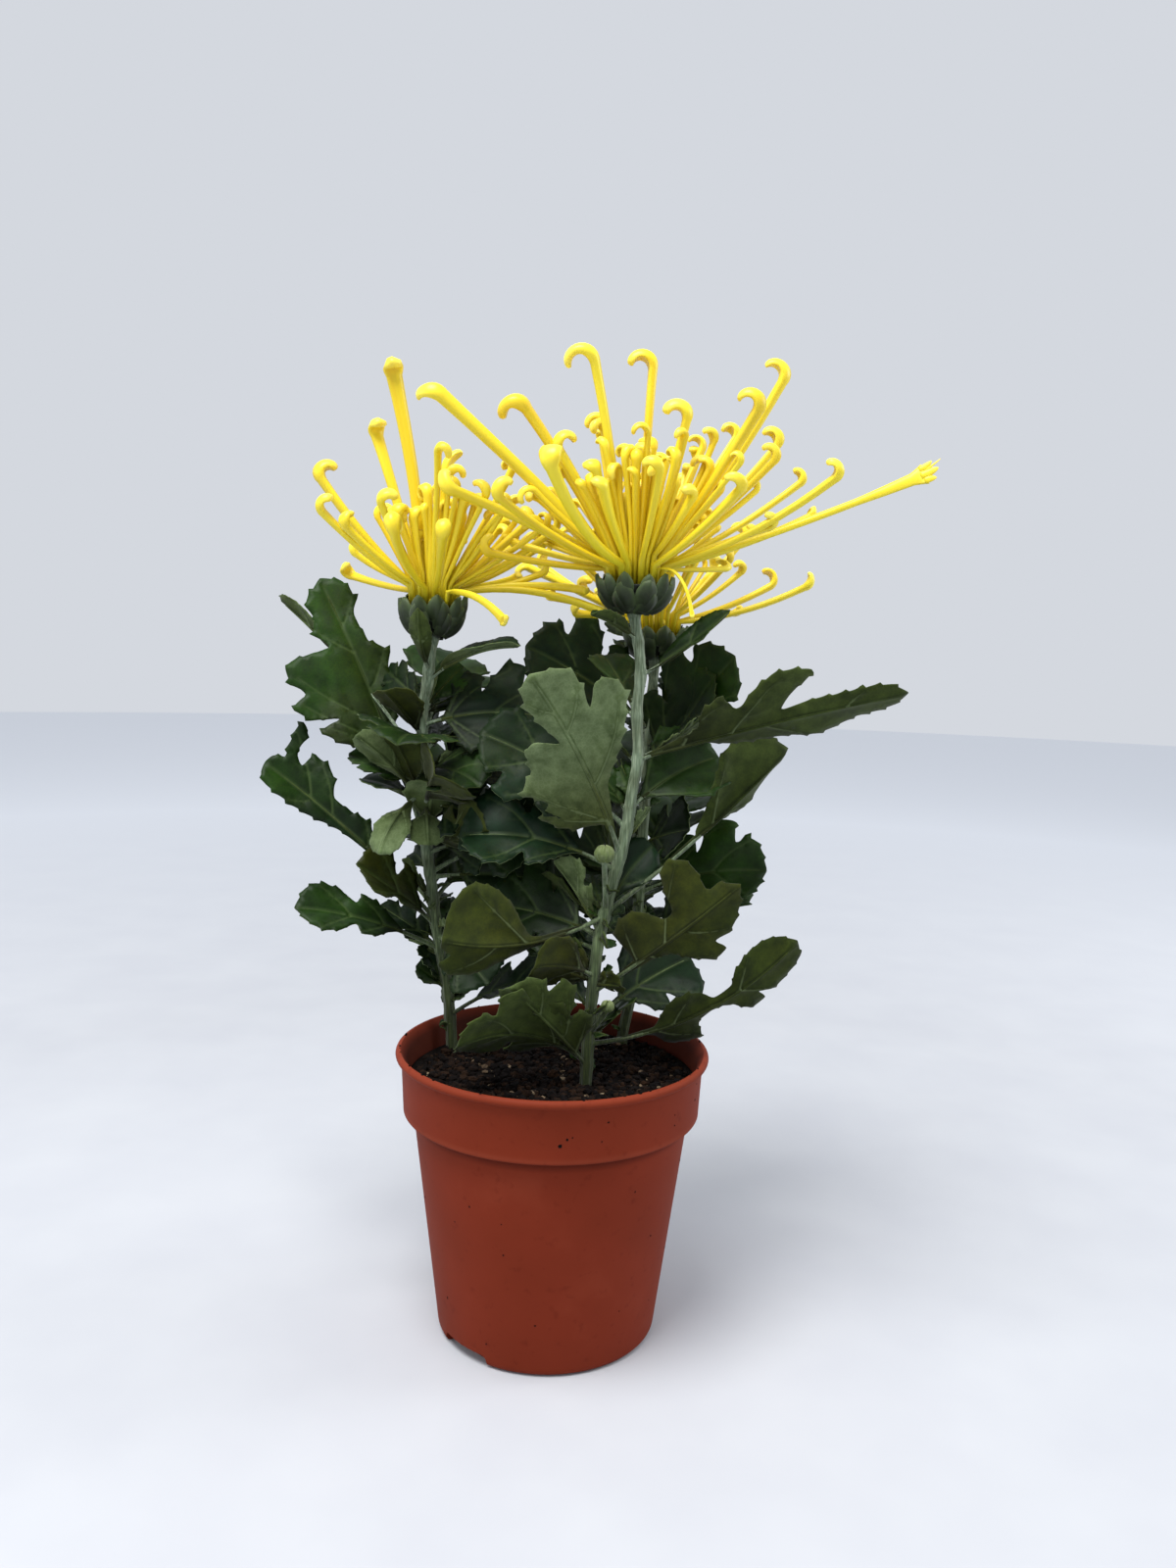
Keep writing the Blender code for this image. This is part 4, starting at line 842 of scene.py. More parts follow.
def curveThrough(points, steps):
    # Hermite curve that passes through each point and rounds the lobes
    made = []
    for i in range(len(points) - 1):
        start, end = points[i], points[i + 1]
        out = (end - points[max(i - 1, 0)]) * leaf["edgePull"]
        into = (points[min(i + 2, len(points) - 1)] - start) * leaf["edgePull"]
        for k in range(steps):
            t = k / steps
            made.append(start * (2 * t ** 3 - 3 * t * t + 1) + out * (t ** 3 - 2 * t * t + t)
                        + end * (3 * t * t - 2 * t ** 3) + into * (t ** 3 - t * t))
    made.append(points[-1].copy())
    return made


def evenlySpaced(points, count):
    gaps = [0.0]
    for a, b in zip(points, points[1:]):
        gaps.append(gaps[-1] + (b - a).length)
    made, i = [], 0
    for k in range(count + 1):
        want = gaps[-1] * k / count
        while i < len(points) - 2 and gaps[i + 1] < want:
            i += 1
        share = (want - gaps[i]) / max(gaps[i + 1] - gaps[i], 1e-9)
        made.append(points[i].lerp(points[i + 1], min(share, 1.0)))
    return made


def pathLength(points):
    return sum((b - a).length for a, b in zip(points, points[1:]))


def toothedEdge(corners, width, toothShare, draw):
    # forward-leaning teeth: one at the tip of each lobe and more down its flanks, none in the bays
    steps, profile = leaf["edgeSteps"], leaf["toothProfile"]
    phases = len(profile)
    curve = curveThrough(corners, steps)
    turns = [0]
    for i in range(1, len(corners) - 1):
        before, here, after = (corners[k].y for k in (i - 1, i, i + 1))
        if before < here >= after or before > here <= after:
            turns.append(i)
    turns.append(len(corners) - 1)
    size = min(1.0, 0.25 + width / 50)
    made = []
    for first, last in zip(turns, turns[1:]):
        stretch = curve[first * steps:last * steps + 1]
        rising = corners[last].y > corners[first].y
        count = max(1, round(pathLength(stretch) / (leaf["toothPitch"] * size)))
        tallest = toothShare * leaf["toothHeight"] * size
        heights = [tallest * draw.uniform(0.55, 1.15) for k in range(count + 1)]
        heights[-1 if rising else 0] *= 1.3
        spaced = evenlySpaced(stretch, phases * count)
        for i in range(phases * count):
            way = (spaced[i + 1] - spaced[max(i - 1, 0)]).normalized()
            tooth, phase = divmod(i, phases)
            bump = heights[tooth if phase == 0 else tooth + 1] * profile[phase]
            fromBay = i / phases if rising else count - i / phases
            fade = min(1.0, max(0.0, (fromBay - 0.22 * count) / (0.3 * count)))
            if last == turns[-1]:
                fade = min(1.0, count - i / phases)
            if first == 0:
                fade = min(fade, i / (phases * count) * 1.5)
            made.append(spaced[i] + Vector((-way.y, way.x)) * bump * fade)
    made.append(corners[-1])
    return made


def veinLines(shapeName, stalk, halfWidth, length):
    # (points, half width, strength) of the midrib, of a vein into each lobe and of its branches
    blade, start = length * (1 - stalk), length * stalk
    midrib = [Vector((length * (0.02 + 0.95 * k / 30), 0)) for k in range(31)]
    lines = [(midrib, leaf["veinWidth"] * 1.25, 1.0)]
    halves = bladeShapes[shapeName]
    for side, half in ((1, halves[0]), (-1, halves[-1])):
        for i in range(1, len(half) - 1):
            along, across = half[i]
            if across <= half[i - 1][1] or across < half[i + 1][1] or across < 0.2:
                continue  # a vein ends only at the widest place of a lobe
            reach = across * halfWidth * leaf["veinReach"]
            root = start + max(0.02 * blade, along * blade - leaf["veinRoot"] * reach)
            end = Vector((start + along * blade, side * reach))
            bend = Vector((root + 0.40 * (end.x - root), side * 0.56 * reach))
            curve = []
            for k in range(13):
                t = k / 12
                curve.append(Vector((root, 0)) * (1 - t) ** 2 + bend * 2 * t * (1 - t) + end * t * t)
            lines.append((curve, leaf["veinWidth"] * 0.85, 0.8))
            for spot, lean in leaf["branches"]:
                way = (curve[spot + 1] - curve[spot - 1]).normalized()
                way.rotate(Matrix.Rotation(math.radians(lean), 2))
                far = reach * (0.62 - 0.045 * spot)
                branch = [curve[spot] + way * far * k / 5 for k in range(6)]
                lines.append((branch, leaf["veinWidth"] * 0.7, 0.22))
    return lines


def veinField(spots, lines):
    # strength of the nearest vein at each spot, and the distance to it
    starts, ends, widths, strengths = [], [], [], []
    for points, width, strength in lines:
        for i, (a, b) in enumerate(zip(points, points[1:])):
            taper = 1 - leaf["veinTaper"] * i / len(points)
            starts.append(a)
            ends.append(b)
            widths.append(width * taper)
            strengths.append(strength * taper)
    starts, ends = np.array(starts), np.array(ends)
    span = ends - starts
    offset = spots[:, None, :] - starts[None]
    t = np.clip((offset * span).sum(2) / np.maximum((span ** 2).sum(1), 1e-9), 0, 1)
    distance = np.linalg.norm(offset - t[..., None] * span, axis=2)
    mark = np.array(strengths) * np.clip(1 - distance / np.array(widths), 0, 1)
    return mark.max(1), distance.min(1)


def leafSpots(outline, lines, length, halfWidth):
    # points inside the outline: rows on and beside each vein, and a sparse grid between them
    edge = np.array(outline)
    near = []
    for points, width, strength in lines:
        spaced = evenlySpaced(points, max(3, round(pathLength(points) / leaf["veinStep"])))
        for i, place in enumerate(spaced):
            near.append(place)
            if strength > 0.6 and 0 < i < len(spaced) - 1:
                way = (spaced[i + 1] - spaced[i - 1]).normalized()
                for side in (1, -1):
                    near.append(place + Vector((-way.y, way.x)) * width * side)
    kept = []
    for place in near:
        spot = np.array(place)
        if np.linalg.norm(edge - spot, axis=1).min() > 0.55:
            if not kept or np.linalg.norm(np.array(kept) - spot, axis=1).min() > 0.5:
                kept.append(spot)
    step = leaf["gridSize"]
    rows = []
    for j in range(int(2.4 * halfWidth / (step * 0.87)) + 2):
        for i in range(int(length / step) + 2):
            rows.append((i * step + (j % 2) * step / 2, -1.2 * halfWidth + j * step * 0.87))
    grid = np.array(rows)
    fixed = np.vstack([edge, np.array(kept)])
    gaps = np.linalg.norm(grid[:, None, :] - fixed[None], axis=2).min(1)
    return kept + list(grid[gaps > step * 0.55])


def leafOutline(row, draw):
    # both edges of a leaf laid flat, with its stalk along +X and its node at the origin
    length, width, stalk, shapeName = (row[i] for i in (3, 4, 9, 10))
    halves = bladeShapes[shapeName]
    thin = leaf["stalkHalfWidth"]
    edges = []
    for half in (halves[0], halves[-1]):
        blade = [Vector((length * (stalk + (1 - stalk) * along), max(across * width / 2, thin)))
                 for along, across in half]
        blade[-1] = Vector((length, 0))
        toothed = toothedEdge(blade, width, leaf["toothShare"].get(shapeName, 1.0), draw)
        edges.append([Vector((0, thin)), Vector((length * stalk * 0.5, thin))] + toothed)
    return edges[0] + [Vector((p.x, -p.y)) for p in reversed(edges[1][:-1])]


def addLeaf(build, row, base, seed, tone=None):
    length, width, fold, stalk, shapeName = (row[i] for i in (3, 4, 8, 9, 10))
    draw = random.Random(seed)
    frames = leafFrames(row, base)
    outline = leafOutline(row, draw)
    lines = veinLines(shapeName, stalk, width / 2, length)
    spots = [Vector(s) for s in leafSpots(outline, lines, length, width / 2)]
    count = len(outline)
    plan = geometry.delaunay_2d_cdt(outline + spots, [(i, (i + 1) % count) for i in range(count)],
                                    [list(range(count))], 1, 1e-5)
    flat, triangles = plan[0], plan[2]
    strength, distance = veinField(np.array(flat), lines)
    lift = math.radians(fold)
    waves = Vector((draw.uniform(0, 90), draw.uniform(0, 90), 0))
    drawnTone = draw.uniform(0.08, 0.5)
    if len(row) > 11:
        tone = row[11]
    elif tone is None:
        tone = drawnTone
    edgeDroop = draw.uniform(-0.5, 1.6)
    layers = []
    for side in (1, -1):
        ids = []
        for i, spot in enumerate(flat):
            middle, across, face = frameAt(frames, spot.x / length)
            reach = abs(spot.y) / (width / 2)
            wave = leaf["waviness"] * noise.noise(Vector((spot.x * 0.055, spot.y * 0.055, 0)) + waves)
            height = wave * min(1.0, reach + 0.2) - edgeDroop * reach * reach
            height += leaf["quilting"] * min(distance[i] / 2.5, 1.0)
            if side == 1:
                height += leaf["thickness"] / 2 - leaf["veinGroove"] * strength[i]
            else:
                height -= leaf["thickness"] / 2 + leaf["veinRelief"] * strength[i]
            if spot.x < length * stalk:
                height = 0.25 * side
            place = middle + across * spot.y * math.cos(lift) + face * (abs(spot.y) * math.sin(lift) + height)
            ids.append(addPoint(build, place, tone, float(strength[i]), spot.x / length))
        layers.append(ids)
    upper, lower = layers
    used = set()
    for triangle in triangles:
        addFace(build, tuple(upper[i] for i in triangle), 0)
        addFace(build, tuple(lower[i] for i in reversed(triangle)), 1)
        used.update((triangle[i], triangle[(i + 1) % 3]) for i in range(3))
    for a, b in sorted(used):
        if (b, a) not in used:
            addFace(build, (upper[b], upper[a], lower[a], lower[b]), 1)
    addRib(build, row, frames, tone)


def addRib(build, row, frames, tone):
    # stalk and the midrib below the blade, which thins to the tip
    length, width, stalk = (row[i] for i in (3, 4, 9))
    steps, reach = leaf["ribSteps"], leaf["ribReach"]
    line, radius = [], []
    for k in range(steps + 1):
        t = reach * k / steps
        middle, across, face = frameAt(frames, t)
        bladeShare = max(0.0, (t - stalk) / (1 - stalk))
        thick = min(leaf["stalkRadius"] - 0.3 * min(t / stalk, 1.0), 0.45 + width / 45)
        thick += leaf["clasp"] * max(0.0, 1 - t * length / 4)
        if bladeShare > 0:
            thick = leaf["ribEnd"] + (min(thick, leaf["ribStart"]) - leaf["ribEnd"]) * (1 - bladeShare) ** 0.7
        radius.append(thick)
        line.append(middle - face * 0.8 * thick * min(bladeShare * 8, 1.0))
    bladeStart = max(2, math.ceil(stalk / reach * steps))
    for first, last, slot in ((0, bladeStart, 2), (bladeStart - 1, steps, 1)):

        def oval(i, angle):
            return radius[first + i] * math.cos(angle), 0.85 * radius[first + i] * math.sin(angle)

        addTube(build, line[first:last + 1], oval, leaf["ribSides"], frames[0][2], slot=slot, tone=tone)


# Small growth: tufts of young leaves in the leaf axils, and tiny new leaves on the lower stem
young = {
    "seed": 3, "leaves": 2, "azimuth": (10, 170), "length": (13, 34), "heights": (108, 240),
    "sprouts": 14, "sproutHeights": (104, 172), "sproutLength": (4.5, 11.0),
}


def sproutRows(name):
    draw = random.Random(young["seed"] * len(name))
    rows = []
    for i in range(young["sprouts"]):
        length = draw.uniform(*young["sproutLength"])
        rows.append((draw.uniform(*young["sproutHeights"]), draw.uniform(-180, 180), draw.uniform(-10, 60),
                     length, length * draw.uniform(0.35, 0.7), draw.uniform(-30, 60), 0,
                     draw.uniform(-60, 60), 20, 0.2, draw.choice(["oak", "spoon"])))
    return rows


def tuftRows(name):
    draw = random.Random(young["seed"] + len(name))
    lowest, highest = young["heights"]
    rows = []
    for row in leafRows[name]:
        if not lowest < row[0] < highest:
            continue
        for i in range(young["leaves"]):
            length = draw.uniform(*young["length"])
            rows.append((row[0] + draw.uniform(-3, 5), draw.uniform(*young["azimuth"]), draw.uniform(12, 62),
                         length, length * draw.uniform(0.42, 0.66), draw.uniform(-10, 40),
                         draw.uniform(-20, 20), draw.uniform(-70, 70), draw.uniform(8, 24), 0.22,
                         draw.choice(["oak", "lobed", "spoon"])))
    return rows


# Small buds: each is a ball of overlapping bracts on a thin shoot
def addShoot(build, base, tip, radius):
    knee = base.lerp(tip, 0.4) + Vector((0, -1, 0))
    path = smoothPath([base, knee, tip], 8)
    addTube(build, path, lambda i, angle: (math.cos(angle), math.sin(angle)), 10, Vector((0, 1, 0)), 2)
    centre = tip + Vector((0, 0, radius * 0.7))
    bowl = [centre + Vector((0, 0, -radius)), centre + Vector((0, 0, radius * 0.9))]

    def ball(i, angle):
        reach = radius * 0.86 * math.sin(math.pi * (i + 0.6) / 13.2)
        return reach * math.cos(angle), reach * math.sin(angle)

    addTube(build, smoothPath(bowl, 12), ball, 14, Vector((0, 1, 0)), 3)
    for tier in range(3):
        for k in range(7):
            azimuth = (k + 0.5 * tier) * 360 / 7
            start, end = -70 + tier * 22, 25 + tier * 28

            def budLine(share):
                out = heading(azimuth, start + (end - start) * share)
                return centre + out * radius * (0.96 + 0.06 * share)

            addBract(build, azimuth, radius * 0.95, 3, tier, budLine)


def addBract(build, azimuth, width, slot, tier, lineAt):
    # a convex pointed scale that follows lineAt from its foot to its tip
    rows, columns = 9, 6
    sideways = heading(azimuth + 90, 0)
    grids = []
    for layer in (1, -1):
        grid = []
        for j in range(rows + 1):
            share = j / rows
            middle = lineAt(share)
            outward = (lineAt(share) - lineAt(max(share - 0.1, 0.0))).cross(sideways)
            if j == 0:
                outward = (lineAt(0.1) - lineAt(0.0)).cross(sideways)
            outward = -outward.normalized()
            half = width / 2 * (0.62 + 0.38 * math.sin(min(share * 1.7, 1.0) * math.pi / 2))
            half *= max(0.0, 1 - max(0.0, (share - 0.4) / 0.6) ** 2.0) ** 0.75 + 0.03
            line = []
            for i in range(columns + 1):
                u = 2 * i / columns - 1
                rise = 0.24 * width * (1 - u * u) * (0.45 + 0.55 * math.sin(share * math.pi)) - 0.06 * width
                rise += 0.08 * width * math.exp(-(u / 0.2) ** 2) * (1 - 0.6 * share)
                thick = 0.22 * layer * (1 - 0.6 * u * u)
                place = middle + sideways * half * u * (1 - 0.12 * abs(u)) + outward * (rise + thick)
                line.append(addPoint(build, place, 0.25 + 0.2 * tier, max(abs(u) ** 4, share ** 5), share))
            grid.append(line)
        grids.append(grid)
    outer, inner = grids
    for j in range(rows):
        for i in range(columns):
            addFace(build, (outer[j][i], outer[j][i + 1], outer[j + 1][i + 1], outer[j + 1][i]), slot)
            addFace(build, (inner[j][i], inner[j + 1][i], inner[j + 1][i + 1], inner[j][i + 1]), slot)
    rim = [(j, 0) for j in range(rows)] + [(rows, i) for i in range(columns)]
    rim += [(rows - j, columns) for j in range(rows)] + [(0, columns - i) for i in range(columns)]
    for (j, i), (n, m) in zip(rim, rim[1:] + rim[:1]):
        addFace(build, (outer[j][i], outer[n][m], inner[n][m], inner[j][i]), slot)


def makePlant():
    # each leaf skin's sixth argument, E4E8DC and D0D6C4, is the painted shade in the creases beside its veins
    upper = leafSkin("downyLeafUpper", [(0.0, "0F2A16"), (0.25, "162A08"), (0.5, "244209"), (0.75, "2C3406"),
                                        (1.0, "3A3805")],
                     "586C3C", 0.48, 0.04, "E4E8DC", {"Roughness": 0.52, "Specular IOR Level": 0.18})
    under = leafSkin("downyLeafUnderside", [(0.0, "74845C"), (0.3, "4A5828"), (0.65, "303C0A"),
                                            (1.0, "3B3F08")],
                     "84936A", 0.45, 0.3, "D0D6C4", {"Roughness": 0.75, "Specular IOR Level": 0.15,
                                                     "Sheen Weight": 0.06, "Sheen Roughness": 0.5})
    rind = stemRind("downyStemRind", [(0.25, "46583A"), (0.5, "72846A"), (0.75, "A6B49A")])
    youngScale = bractSkin("downyYoungBract", [(0.0, "46562E"), (0.5, "64743E"), (1.0, "7C8A50")], "A2AC7C")
    materials = [upper, under, rind, youngScale]
    for name in stemPaths:
        build = newBuild()
        addStem(build, name)
        path = [Vector(p) for p in stemPaths[name]]
        rows = leafRows[name] + innerLeafRows[name] + tuftRows(name) + sproutRows(name)
        for i, row in enumerate(rows):
            addLeaf(build, row, pointAtHeight(path, row[0]), 100 * len(name) + 7 * i, leafTones[name].get(i))
        for owner, height, tip, radius in shootRows:
            if owner == name:
                addShoot(build, pointAtHeight(path, height), Vector(tip), radius)
        makePiece(name + "LeafyStem", build, materials, [name + "_leafy_stem"])
        print(name, "stem and leaves:", len(build["faces"]), "faces")


# Blooms: middle of the receptacle, seed, azimuth that most hooks curl towards, radius of the cup's rim.
# A placed floret: azimuth, rise and length of the line to where the tip starts to curl, bow of the tube on
# the way, turn and radius of the curl, azimuth that it curls towards, half width there. The florets between
# and behind those come in rounds: count, range of azimuth, of rise and of reach, and depth of the root.
bloomRows = {
    "front": {
        "middle": (26, 0, 291), "seed": 12, "lean": 180, "cupRadius": 13.2,
        "florets": [
            (-140, 72, 75, -8, 200, 5.3, 180, 2.1), (67, 82, 76, -4, 190, 4.6, 180, 2.0),
            (5, 54, 88, 12, 170, 4.8, 180, 2.0), (-30, 51, 71, 8, 200, 4.1, 175, 2.2),
            (-17, 73, 57, 0, 190, 4.1, 180, 1.8), (33, 59, 56, 0, 190, 3.2, 180, 1.6),
            (-81, 45, 46, 14, 190, 3.2, 170, 1.7), (81, 57, 41, 10, 190, 3.2, 180, 1.6),
            (-123, 28, 65, 40, 150, 3.7, 60, 2.2), (-157, 53, 52, -10, 210, 3.4, 10, 1.8),
            (135, 72, 57, 4, 200, 3.9, 185, 1.8), (-164, 52, 70, -12, 170, 5.1, 180, 2.3),
            (-160, 37, 93, -6, 120, 6.2, 180, 2.6), (-166, 21, 72, -10, 120, 5.1, 30, 2.0),
            (-110, 32, 48, 26, 120, 3.0, 180, 1.8), (-148, 21, 61, 16, 200, 3.4, 20, 1.8),
            (19, 42, 75, 10, 190, 3.9, 180, 1.8), (-10, 40, 63, 8, 190, 3.2, 180, 1.7),
            (36, 49, 72, 0, 200, 3.2, 180, 1.6), (9, 30, 71, 14, 170, 3.0, 180, 1.6),
            (-13, 26, 78, 22, 180, 3.4, 180, 1.8), (-3, 20, 106, 6, 12, 30.0, 270, 2.0),
            (21, 19, 77, 10, 100, 3.2, 180, 1.6), (-52, 27, 57, 18, 190, 3.4, 180, 1.7),
            (-176, 6, 53, 10, 180, 3.4, 0, 1.7), (152, 24, 58, 14, 180, 3.4, 0, 1.7),
            (-46, -27, 31, -105, 60, 3.0, 270, 0.7),
        ],
        "rounds": [
            (14, (0, 360), (50, 86), (20, 46), 0.6), (18, (0, 360), (24, 58), (36, 58), 0.9),
            (16, (0, 360), (6, 28), (34, 56), 1.2), (18, (10, 170), (22, 76), (28, 62), 1.0),
            (9, (200, 340), (30, 60), (30, 46), 1.1),
        ],
    },
    "left": {
        "middle": (-50, 12, 281), "seed": 23, "lean": 0, "cupRadius": 11.6,
        "florets": [
            (-166, 79, 81, -8, 150, 3.4, 280, 2.6), (156, 67, 65, -4, 170, 3.4, 300, 2.3),
            (180, 45, 59, 16, 190, 3.4, 10, 2.0), (-157, 34, 50, 14, 170, 3.4, 0, 1.7),
            (-121, 45, 43, 20, 190, 3.0, 0, 1.7), (-104, 26, 44, 30, 330, 3.4, 90, 1.6),
            (143, 79, 34, 4, 200, 3.0, 0, 1.6), (-2, 4, 57, -20, 30, 6.0, 180, 2.0),
            (-5, -5, 68, -36, 60, 4.0, 180, 1.7), (-47, -12, 42, -40, 40, 4.0, 180, 1.6),
            (-6, 38, 44, 0, 150, 3.4, 180, 1.8), (-35, 43, 46, -20, 120, 3.4, 180, 1.4),
            (-80, 24, 45, 26, 200, 3.2, 90, 1.6), (82, 69, 51, -8, 70, 12.0, 0, 1.6),
        ],
        "rounds": [
            (14, (0, 360), (45, 86), (20, 38), 0.6), (18, (-75, 60), (12, 52), (34, 58), 0.9),
            (9, (60, 250), (4, 42), (30, 44), 1.1), (8, (200, 340), (35, 62), (24, 38), 1.1),
        ],
    },
    "rear": {
        "middle": (38, 51, 273), "seed": 37, "lean": 180, "cupRadius": 12.0,
        "florets": [
            (-6, 16, 62, 22, 110, 4.6, 180, 1.7), (12, 20, 52, 16, 190, 3.9, 180, 1.7),
            (-160, 6, 34, -10, 180, 3.0, 0, 1.6), (180, 22, 57, -6, 120, 3.4, 180, 1.8),
            (24, 43, 55, 8, 190, 3.4, 180, 1.7), (60, 24, 64, 12, 180, 3.7, 240, 1.7),
            (100, 30, 66, 12, 180, 3.7, 280, 1.7), (140, 22, 66, 12, 180, 3.7, 320, 1.7),
            (120, 52, 68, 6, 190, 3.9, 300, 1.8), (70, 58, 70, 6, 190, 3.9, 250, 1.8),
        ],
        "rounds": [(10, (0, 360), (40, 86), (28, 46), 0.6), (16, (0, 360), (5, 40), (34, 54), 1.0)],
    },
}
floret = {
    "domeRadius": 9.0, "domeHeight": 7.5, "domeSink": 1.0, "domeDrop": 4.0,
    "rootDepth": 0.72, "lowestRoot": 12.0, "seatShare": 0.83, "footDepth": 5.0,
    "straightSteps": 9, "curlSteps": 15, "sides": 12, "pullRise": 18.0,
    "tightening": 0.45,  # share that a curl's radius loses on its way to the tip
    "rootWidth": 0.6, "neckWidth": 0.86, "swell": 1.12, "pleat": 0.09,
    "tipWidth": (1.3, 1.9), "tipTaper": (0.1, 0.7), "tipThickness": (1.15, 1.65),
    "tornReach": 100, "tornSpread": 1.1,
    # shreds of the torn tip: place across it, lift, length, half width
    "shreds": [(-0.6, -0.9, 4.2, 1.4), (-0.05, 0.2, 6.8, 1.7), (0.6, 1.1, 5.2, 1.3), (0.3, 1.6, 9.5, 0.5)],
}


def rayFloret():
    # tubular ray floret: thin waxy petal with a satin gloss, lemon where new and deeper along the tube, with
    # painted shade in its groove
    look = {"Roughness": 0.38, "Specular IOR Level": 0.35}
    material, tree, shader = startMaterial("waxyRayFloret", look)[:3]
    along = addNode(tree, "Attribute", attribute_name="along")
    around = addNode(tree, "Attribute", attribute_name="around")
    tone = addNode(tree, "Attribute", attribute_name="tone")
    lengthwise = addNode(tree, "ValToRGB", {"Fac": along.outputs["Fac"]},
                         stops=[(0.0, "D8CC2A"), (0.12, "EEDC2C"), (0.6, "F8E63C"), (1.0, "FFF062")])
    differing = addNode(tree, "ValToRGB", {"Fac": tone.outputs["Fac"]},
                        stops=[(0.0, "F0E0A0"), (0.5, "FFFFFF"), (1.0, "FFF8DC")])
    skin = addNode(tree, "Mix", {0: 0.7, 6: lengthwise.outputs["Color"], 7: differing.outputs["Color"]},
                   **multiply)
    # fine lines run the length of the tube
    lines = addNode(tree, "CombineXYZ", {
        0: around.outputs["Fac"], 1: along.outputs["Fac"], 2: tone.outputs["Fac"]})
    spread = addNode(tree, "Mapping", {"Vector": lines.outputs[0], "Scale": (2.0, 1.5, 60.0)})
    grain = addNode(tree, "TexNoise", {"Vector": spread.outputs[0], "Scale": 1.0, "Detail": 2.0})
    streak = addNode(tree, "ValToRGB", {"Fac": grain.outputs["Fac"]},
                     stops=[(0.35, "ECD070"), (0.6, "FFFFFF")])
    lined = addNode(tree, "Mix", {0: 0.4, 6: skin.outputs[2], 7: streak.outputs["Color"]}, **multiply)
    # painted shade: darker yellow in the groove
    hollow = addNode(tree, "Attribute", attribute_name="vein")
    grooveShadeShare = addNode(tree, "Math", {0: hollow.outputs["Fac"], 1: 0.5}, operation="MULTIPLY")
    shaded = addNode(tree, "Mix", {
        0: grooveShadeShare.outputs[0], 6: lined.outputs[2], 7: toLinear("D0A800")}, **blend)
    tree.links.new(shaded.outputs[2], shader.inputs["Base Color"])
    return material


def floretPath(middle, row, rimRadius):
    azimuth, rise, reach, bow, turn, radius, toward = row[:7]
    depth = row[8] if len(row) > 8 else floret["rootDepth"]
    out = heading(azimuth, rise)
    seatRise = math.radians(max(rise, floret["lowestRoot"]))
    seat = heading(azimuth, 0) * floret["seatShare"] * rimRadius * math.sqrt(math.cos(seatRise))
    root = middle + seat + Vector((0, 0, floret["domeHeight"] * depth * math.sin(seatRise)))
    foot = middle + seat * 0.85 - Vector((0, 0, floret["footDepth"]))
    chord = middle + out * reach - root
    side = heading(azimuth, rise + 90)
    sag = -2 * math.tan(math.radians(bow) / 4) * chord.length
    path = [foot]
    for i in range(floret["straightSteps"] + 1):
        t = i / floret["straightSteps"]
        path.append(root + chord * t + side * sag * t * (1 - t))
    tangent = (path[-1] - path[-2]).normalized()
    pull = heading(toward, floret["pullRise"])
    pull = (pull - tangent * pull.dot(tangent)).normalized()
    here = path[-1]
    step = math.radians(turn) / floret["curlSteps"]
    for i in range(floret["curlSteps"]):
        tight = radius * (1 - floret["tightening"] * i / floret["curlSteps"])
        spin = step * (i + 0.5)
        here = here + (tangent * math.cos(spin) + pull * math.sin(spin)) * tight * step
        path.append(here)
    return path, tangent.cross(pull).normalized()


def tubeGirth(share, halfWidth):
    # half width, half thickness and hollow at a share of the way to the curl
    root, neck = floret["rootWidth"], floret["neckWidth"]
    wide = halfWidth * (root + (neck - root) * share + (1 - neck) * share ** 8)
    return wide, wide * 0.95, 0.1 + 0.3 * share ** 4


def tipGirth(share, halfWidth, tip):
    # the same along the curl, where the tube widens into a spoon and ends blunt
    spread = 1 + (tip["tipWidth"] - 1) * math.sin(min(share * 2.2, 1.0) * math.pi / 2)
    deepen = 1 + (tip["tipThickness"] - 1) * math.sin(min(3 * share, 1.0) * math.pi / 2)
    taper = 1 - tip["tipTaper"] * share ** 1.5
    blunt = 0.1 + 0.9 * math.sqrt(max(0.0, 1 - max(0.0, (share - 0.75) / 0.25) ** 2))
    thick = halfWidth * 0.95 * deepen * (0.4 + 0.6 * blunt) * taper
    return halfWidth * spread * taper * blunt, thick, 0.4 + 0.55 * min(2 * share, 1.0)


